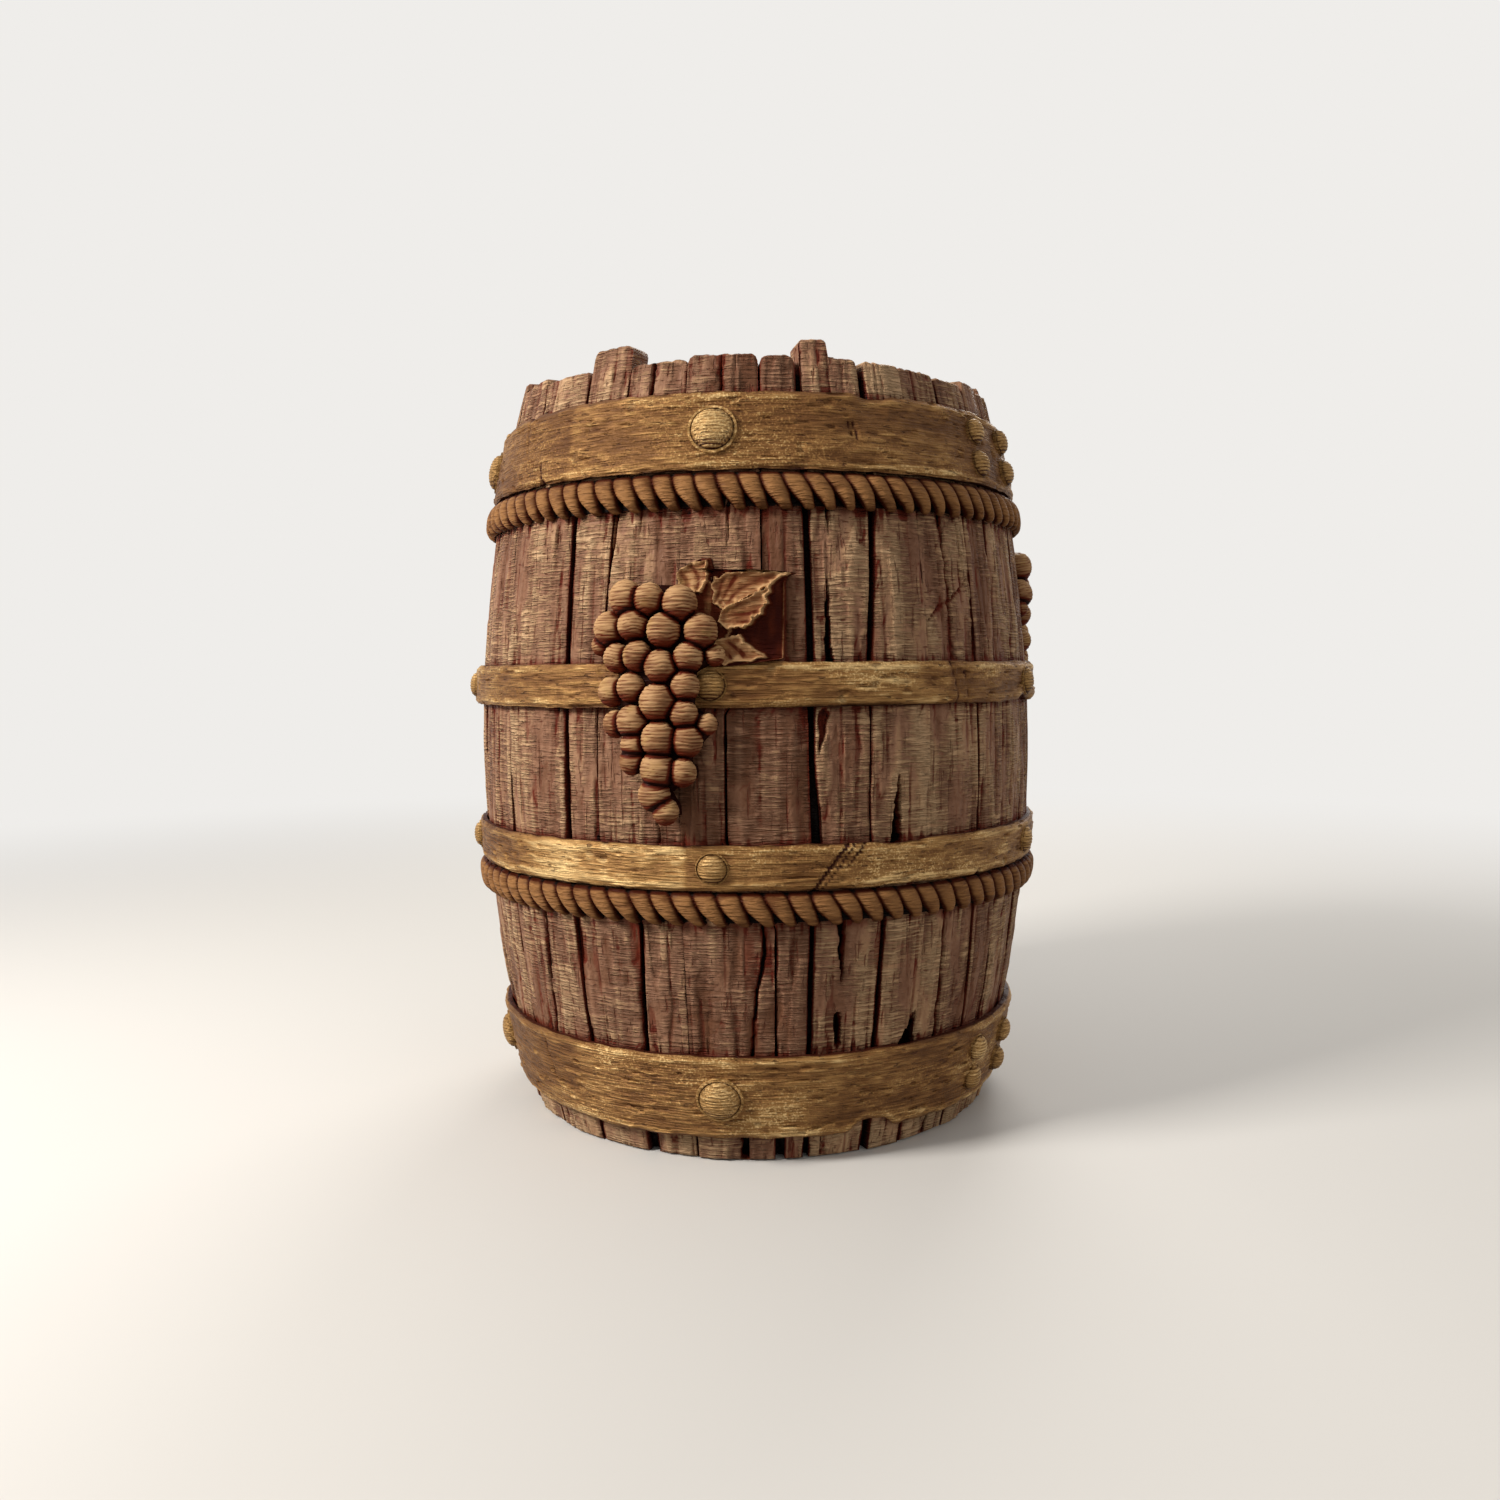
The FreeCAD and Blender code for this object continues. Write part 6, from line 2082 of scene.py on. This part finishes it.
@dataclass
class WineBag:
    """Filled film bag that stands on the base head, slack and creased at its shoulder."""

    foot: float = 21.3
    front: float = 92.4
    rows: int = 110
    columns: int = 160

    def make(self) -> None:
        """Builds the bag as a turned outline that creases draw in.

        Round the outline from the middle of the foot to the middle of the head, the radius
        follows foot, side and shoulder. Creases fan in from the shoulder and the foot, and
        the side that carries the gland is pressed flat.
        """
        outline = np.array([
            [0.5, 0.0], [40.0, 0.0], [74.0, 0.2], [84.0, 3.0], [90.5, 9.0], [94.0, 18.0], [94.6, 30.0],
            [94.6, 70.0], [94.6, 122.0], [93.0, 138.0], [88.0, 153.0], [78.0, 167.0], [62.0, 178.0],
            [42.0, 184.0], [20.0, 187.5], [0.5, 188.0],
        ])
        radius, height = traced(outline, self.rows)
        turn = np.linspace(0.0, 1.0, self.columns, endpoint=False)[None, :]
        fan = np.abs(noise(turn * 22, height / 70.0, 611, 22))
        cross = rough(turn * 30, height / 16.0, 612, 3, 30)
        slack = smooth((height - 95.0) / 70.0) + 0.5 * smooth((30.0 - height) / 30.0)
        inner = smooth(radius / 40.0)
        radius = radius - inner * (0.4 + slack * (3.4 * (1.0 - fan) ** 3 + 0.9 * np.abs(cross)))
        dip = smooth((height - 150.0) / 30.0) * (2.2 * np.abs(cross) + 4.0 * (1.0 - fan) ** 2 * inner)
        angle = 2 * math.pi * turn
        y = np.maximum(radius * np.sin(angle), -self.front + 0.25 * np.abs(cross))
        points = stacked(radius * np.cos(angle), y, self.foot + height - dip)
        shell = Shell().add(points, tube_faces(self.rows, self.columns))
        bag = piece("film", "wine_bag", shell, MetallisedFilm())


@dataclass
class TapSpring:
    """Return spring round the valve stem. The real spring shortens as the stem slides in; this one is
    built at one length.
    """

    height: float = 64.0
    start_out: float = 138.26
    length: float = 8.9
    coil: float = 3.6
    wire: float = 0.45
    turns: int = 4
    steps: int = 36
    section: int = 12
    travel: float = 3.11

    def make(self) -> None:
        """Builds the spring as a round wire carried along a helix.

        The wire's middle goes round the stem's axis and out along it at an even pitch. Its
        section lies across the helix, on the way out from the axis and the way across both.
        """
        share = np.linspace(0.0, 1.0, self.turns * self.steps + 1)[:, None]
        turn = 2 * math.pi * self.turns * share
        out = stacked(np.cos(turn), 0.0, np.sin(turn))
        round_way = stacked(-np.sin(turn), 0.0, np.cos(turn))
        along = np.array([0.0, -1.0, 0.0])
        pitch = self.length / (2 * math.pi * self.turns)
        lean = math.hypot(self.coil, pitch)
        across = (along * self.coil - round_way * pitch) / lean
        middle = out * self.coil + stacked(0.0, -self.start_out - self.length * share, self.height)
        angle = circle(self.section)[..., None]
        wire = middle + self.wire * (out * np.cos(angle) + across * np.sin(angle))
        shell = Shell().add(wire, tube_faces(len(share), self.section))
        spring = piece("wound", "tap_spring", shell, BRIGHT_STEEL)
        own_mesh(spring)


@dataclass
class Fittings:
    """The base, the ledge and the tap's parts, whose CAD shapes are right as they are."""

    finishes: dict[str, Finish] = field(default_factory=lambda: {
        "base_head": PlanedPine(),
        "lid_ledge": PlanedPine("#a07a55", "#72492d", 2.6, (0.5, 0.5, 1.0)),
        "bag_gland": Moulded("#dad7cd", "#cfcbbf", 0.4, "moulded_polyethylene"),
        "neck_ring": TurnedMetal("#b08d4f", "#84622f", 0.32, "turned_brass"),
        "tap_body": Moulded("#2a2624", "#221f1d", 0.32, "moulded_polypropylene"),
        "tap_lever": Moulded("#7c1d22", "#6a171c", 0.3, "moulded_polypropylene"),
        "valve_seal": Moulded("#26221f", "#1d1a18", 0.6, "moulded_rubber"),
        "valve_stem": BRIGHT_STEEL,
        "lever_pin": BRIGHT_STEEL,
    })

    def make(self) -> None:
        """Gives each of them its finish."""
        for node, finish in self.finishes.items():
            dressed(node, finish)


# Camera, floor and lamps

@dataclass(frozen=True)
class Lamp:
    """Square soft lamp that looks at the cask's belly. Its place and size are in metres."""

    name: str
    azimuth: float
    away: float
    height: float
    size: float
    watts: float
    aim: float = 0.14
    colour: Triple = (1.0, 0.965, 0.92)

    def make(self) -> None:
        """Adds the lamp and turns it to the belly."""
        data = bpy.data.lights.new(self.name, "AREA")
        data.size = self.size
        data.energy = self.watts
        data.color = self.colour
        turn = math.radians(self.azimuth)
        place = np.array([math.sin(turn) * self.away, -math.cos(turn) * self.away, self.height])
        look = np.array([0.0, 0.0, self.aim]) - place
        look = look / np.linalg.norm(look)
        right = np.cross(look, [0.0, 0.0, 1.0])
        right = right / np.linalg.norm(right)
        aimed(linked(self.name, data), right, np.cross(right, look), place)


@dataclass
class Studio:
    """Camera at the photograph's viewing angle, a pale floor and soft lamps.

    The camera's focal length and shift are in points of an image of the size given, and the
    floor's sizes are in metres.
    """

    distance: float = 518.2
    eye_height: float = 177.4
    pitch: float = 3.878
    roll: float = -0.528
    focal: float = 1196.4
    image: float = 1500.0
    centre_shift: float = 5.9
    sensor: float = 36.0
    background: str = "#efedea"
    floor_colour: str = "#dbd8d3"
    floor_bounce: str = "#8f8a84"
    floor_reach: float = 6.0
    floor_level: float = -0.0003
    fade: Size = (0.35, 1.3)
    world_colour: tuple[float, float, float, float] = (1.0, 0.985, 0.965, 1.0)
    world_strength: float = 0.34
    lamps: tuple[Lamp, ...] = (
        Lamp("key", SEEN_AZIMUTH - 61.0, 0.95, 0.74, 0.3, 14.0),
        Lamp("fill", SEEN_AZIMUTH + 40.0, 1.5, 0.8, 0.9, 3.1),
        Lamp("back", SEEN_AZIMUTH + 165.0, 1.3, 1.0, 0.8, 11.0),
    )

    def camera(self) -> None:
        """Sets the camera: its axes are forward, right and up, turned by the roll."""
        turn, lean, tilt = (math.radians(a) for a in (SEEN_AZIMUTH, self.pitch, self.roll))
        away = np.array([math.sin(turn), -math.cos(turn), 0.0])
        right = np.array([math.cos(turn), math.sin(turn), 0.0])
        forward = -away * math.cos(lean) - np.array([0.0, 0.0, math.sin(lean)])
        up = np.cross(right, forward)
        data = bpy.data.cameras.new("camera")
        data.sensor_width = self.sensor
        data.lens = self.focal / self.image * self.sensor
        data.shift_x = -self.centre_shift / self.image
        data.clip_start = 0.01
        data.clip_end = 50.0
        camera = linked("camera", data)
        eye = away * self.distance + np.array([0.0, 0.0, self.eye_height])
        rolled = right * math.cos(tilt) + up * math.sin(tilt)
        aimed(camera, rolled, np.cross(rolled, forward), eye * METRES)
        bpy.context.scene.camera = camera

    def shown(self, tree: Recipe, *rays: str) -> Socket:
        """Chooses rays.

        Args:
            tree: The recipe.
            rays: Names of LightPath's outputs.

        Returns:
            1 for a ray of one of the kinds, else 0.
        """
        share = tree.add("LightPath", output=rays[0])
        for ray in rays[1:]:
            share = tree.add("Math", share, tree.add("LightPath", output=ray), operation="MAXIMUM")
        return share

    def floor(self) -> None:
        """Lays a pale floor that fades into the background before its horizon.

        Its own shade shows near the cask, with the cask's shadow. Further out, as the
        distance from the axis grows, it turns into the background's colour. To the light it
        is a darker grey, so that little comes up from below.
        """
        material = bpy.data.materials.new("matt_painted_board")
        material.use_nodes = True
        tree = Recipe(material.node_tree)
        shown = self.shown(tree, "Is Camera Ray", "Is Glossy Ray")
        colour = tree.add("Mix", shown, self.floor_bounce, self.floor_colour)
        tree.shade(0.0, None, base_color=colour, roughness=0.6, specular_ior_level=0.2)
        away = tree.add("MapRange", tree.add("VectorMath", tree.place, operation="LENGTH"), *self.fade)
        faded = tree.add("Math", away, shown)
        near = tree.graph.nodes["Principled BSDF"].outputs["BSDF"]
        tree.end(tree.add("MixShader", faded, near, tree.add("Emission", self.background, 1.0)))
        mesh = bpy.data.meshes.new("floor")
        sides = ((-1, -1), (1, -1), (1, 1), (-1, 1))
        corners = [(x * self.floor_reach, y * self.floor_reach, self.floor_level) for x, y in sides]
        mesh.from_pydata(corners, [], [(0, 1, 2, 3)])
        mesh.materials.append(material)
        floor = linked("floor", mesh)

    def world(self) -> None:
        """Lights all round softly, and shows a pale background to the eye and in gloss."""
        world = bpy.data.worlds.new("soft_room")
        bpy.context.scene.world = world
        world.use_nodes = True
        world.node_tree.nodes.clear()
        world.node_tree.nodes.new("ShaderNodeOutputWorld")
        tree = Recipe(world.node_tree)
        shown = self.shown(tree, "Is Camera Ray", "Is Transmission Ray", "Is Glossy Ray")
        lamp = tree.add("Background", self.world_colour, self.world_strength)
        tree.end(tree.add("MixShader", shown, lamp, tree.add("Background", self.background, 1.0)))

    def make(self) -> None:
        """Sets the camera, the floor, the world and the lamps."""
        self.camera()
        self.floor()
        self.world()
        for lamp in self.lamps:
            lamp.make()
        bpy.context.scene.view_settings.view_transform = "Standard"


def main() -> None:
    """Builds every sub-assembly in order."""
    logging.basicConfig(level=logging.INFO, format="%(name)s: %(message)s")
    Studio().make()
    Staves().make()
    for hoop in hoops():
        hoop.make()
    Rivetry().make()
    Rope("rope_lower", 88.8, 11.8).make()
    Rope("rope_upper", 231.0, 12.6).make()
    for cluster in clusters():
        cluster.make()
    Lid().make()
    WineBag().make()
    TapSpring().make()
    Fittings().make()


if __name__ == "__main__":
    main()
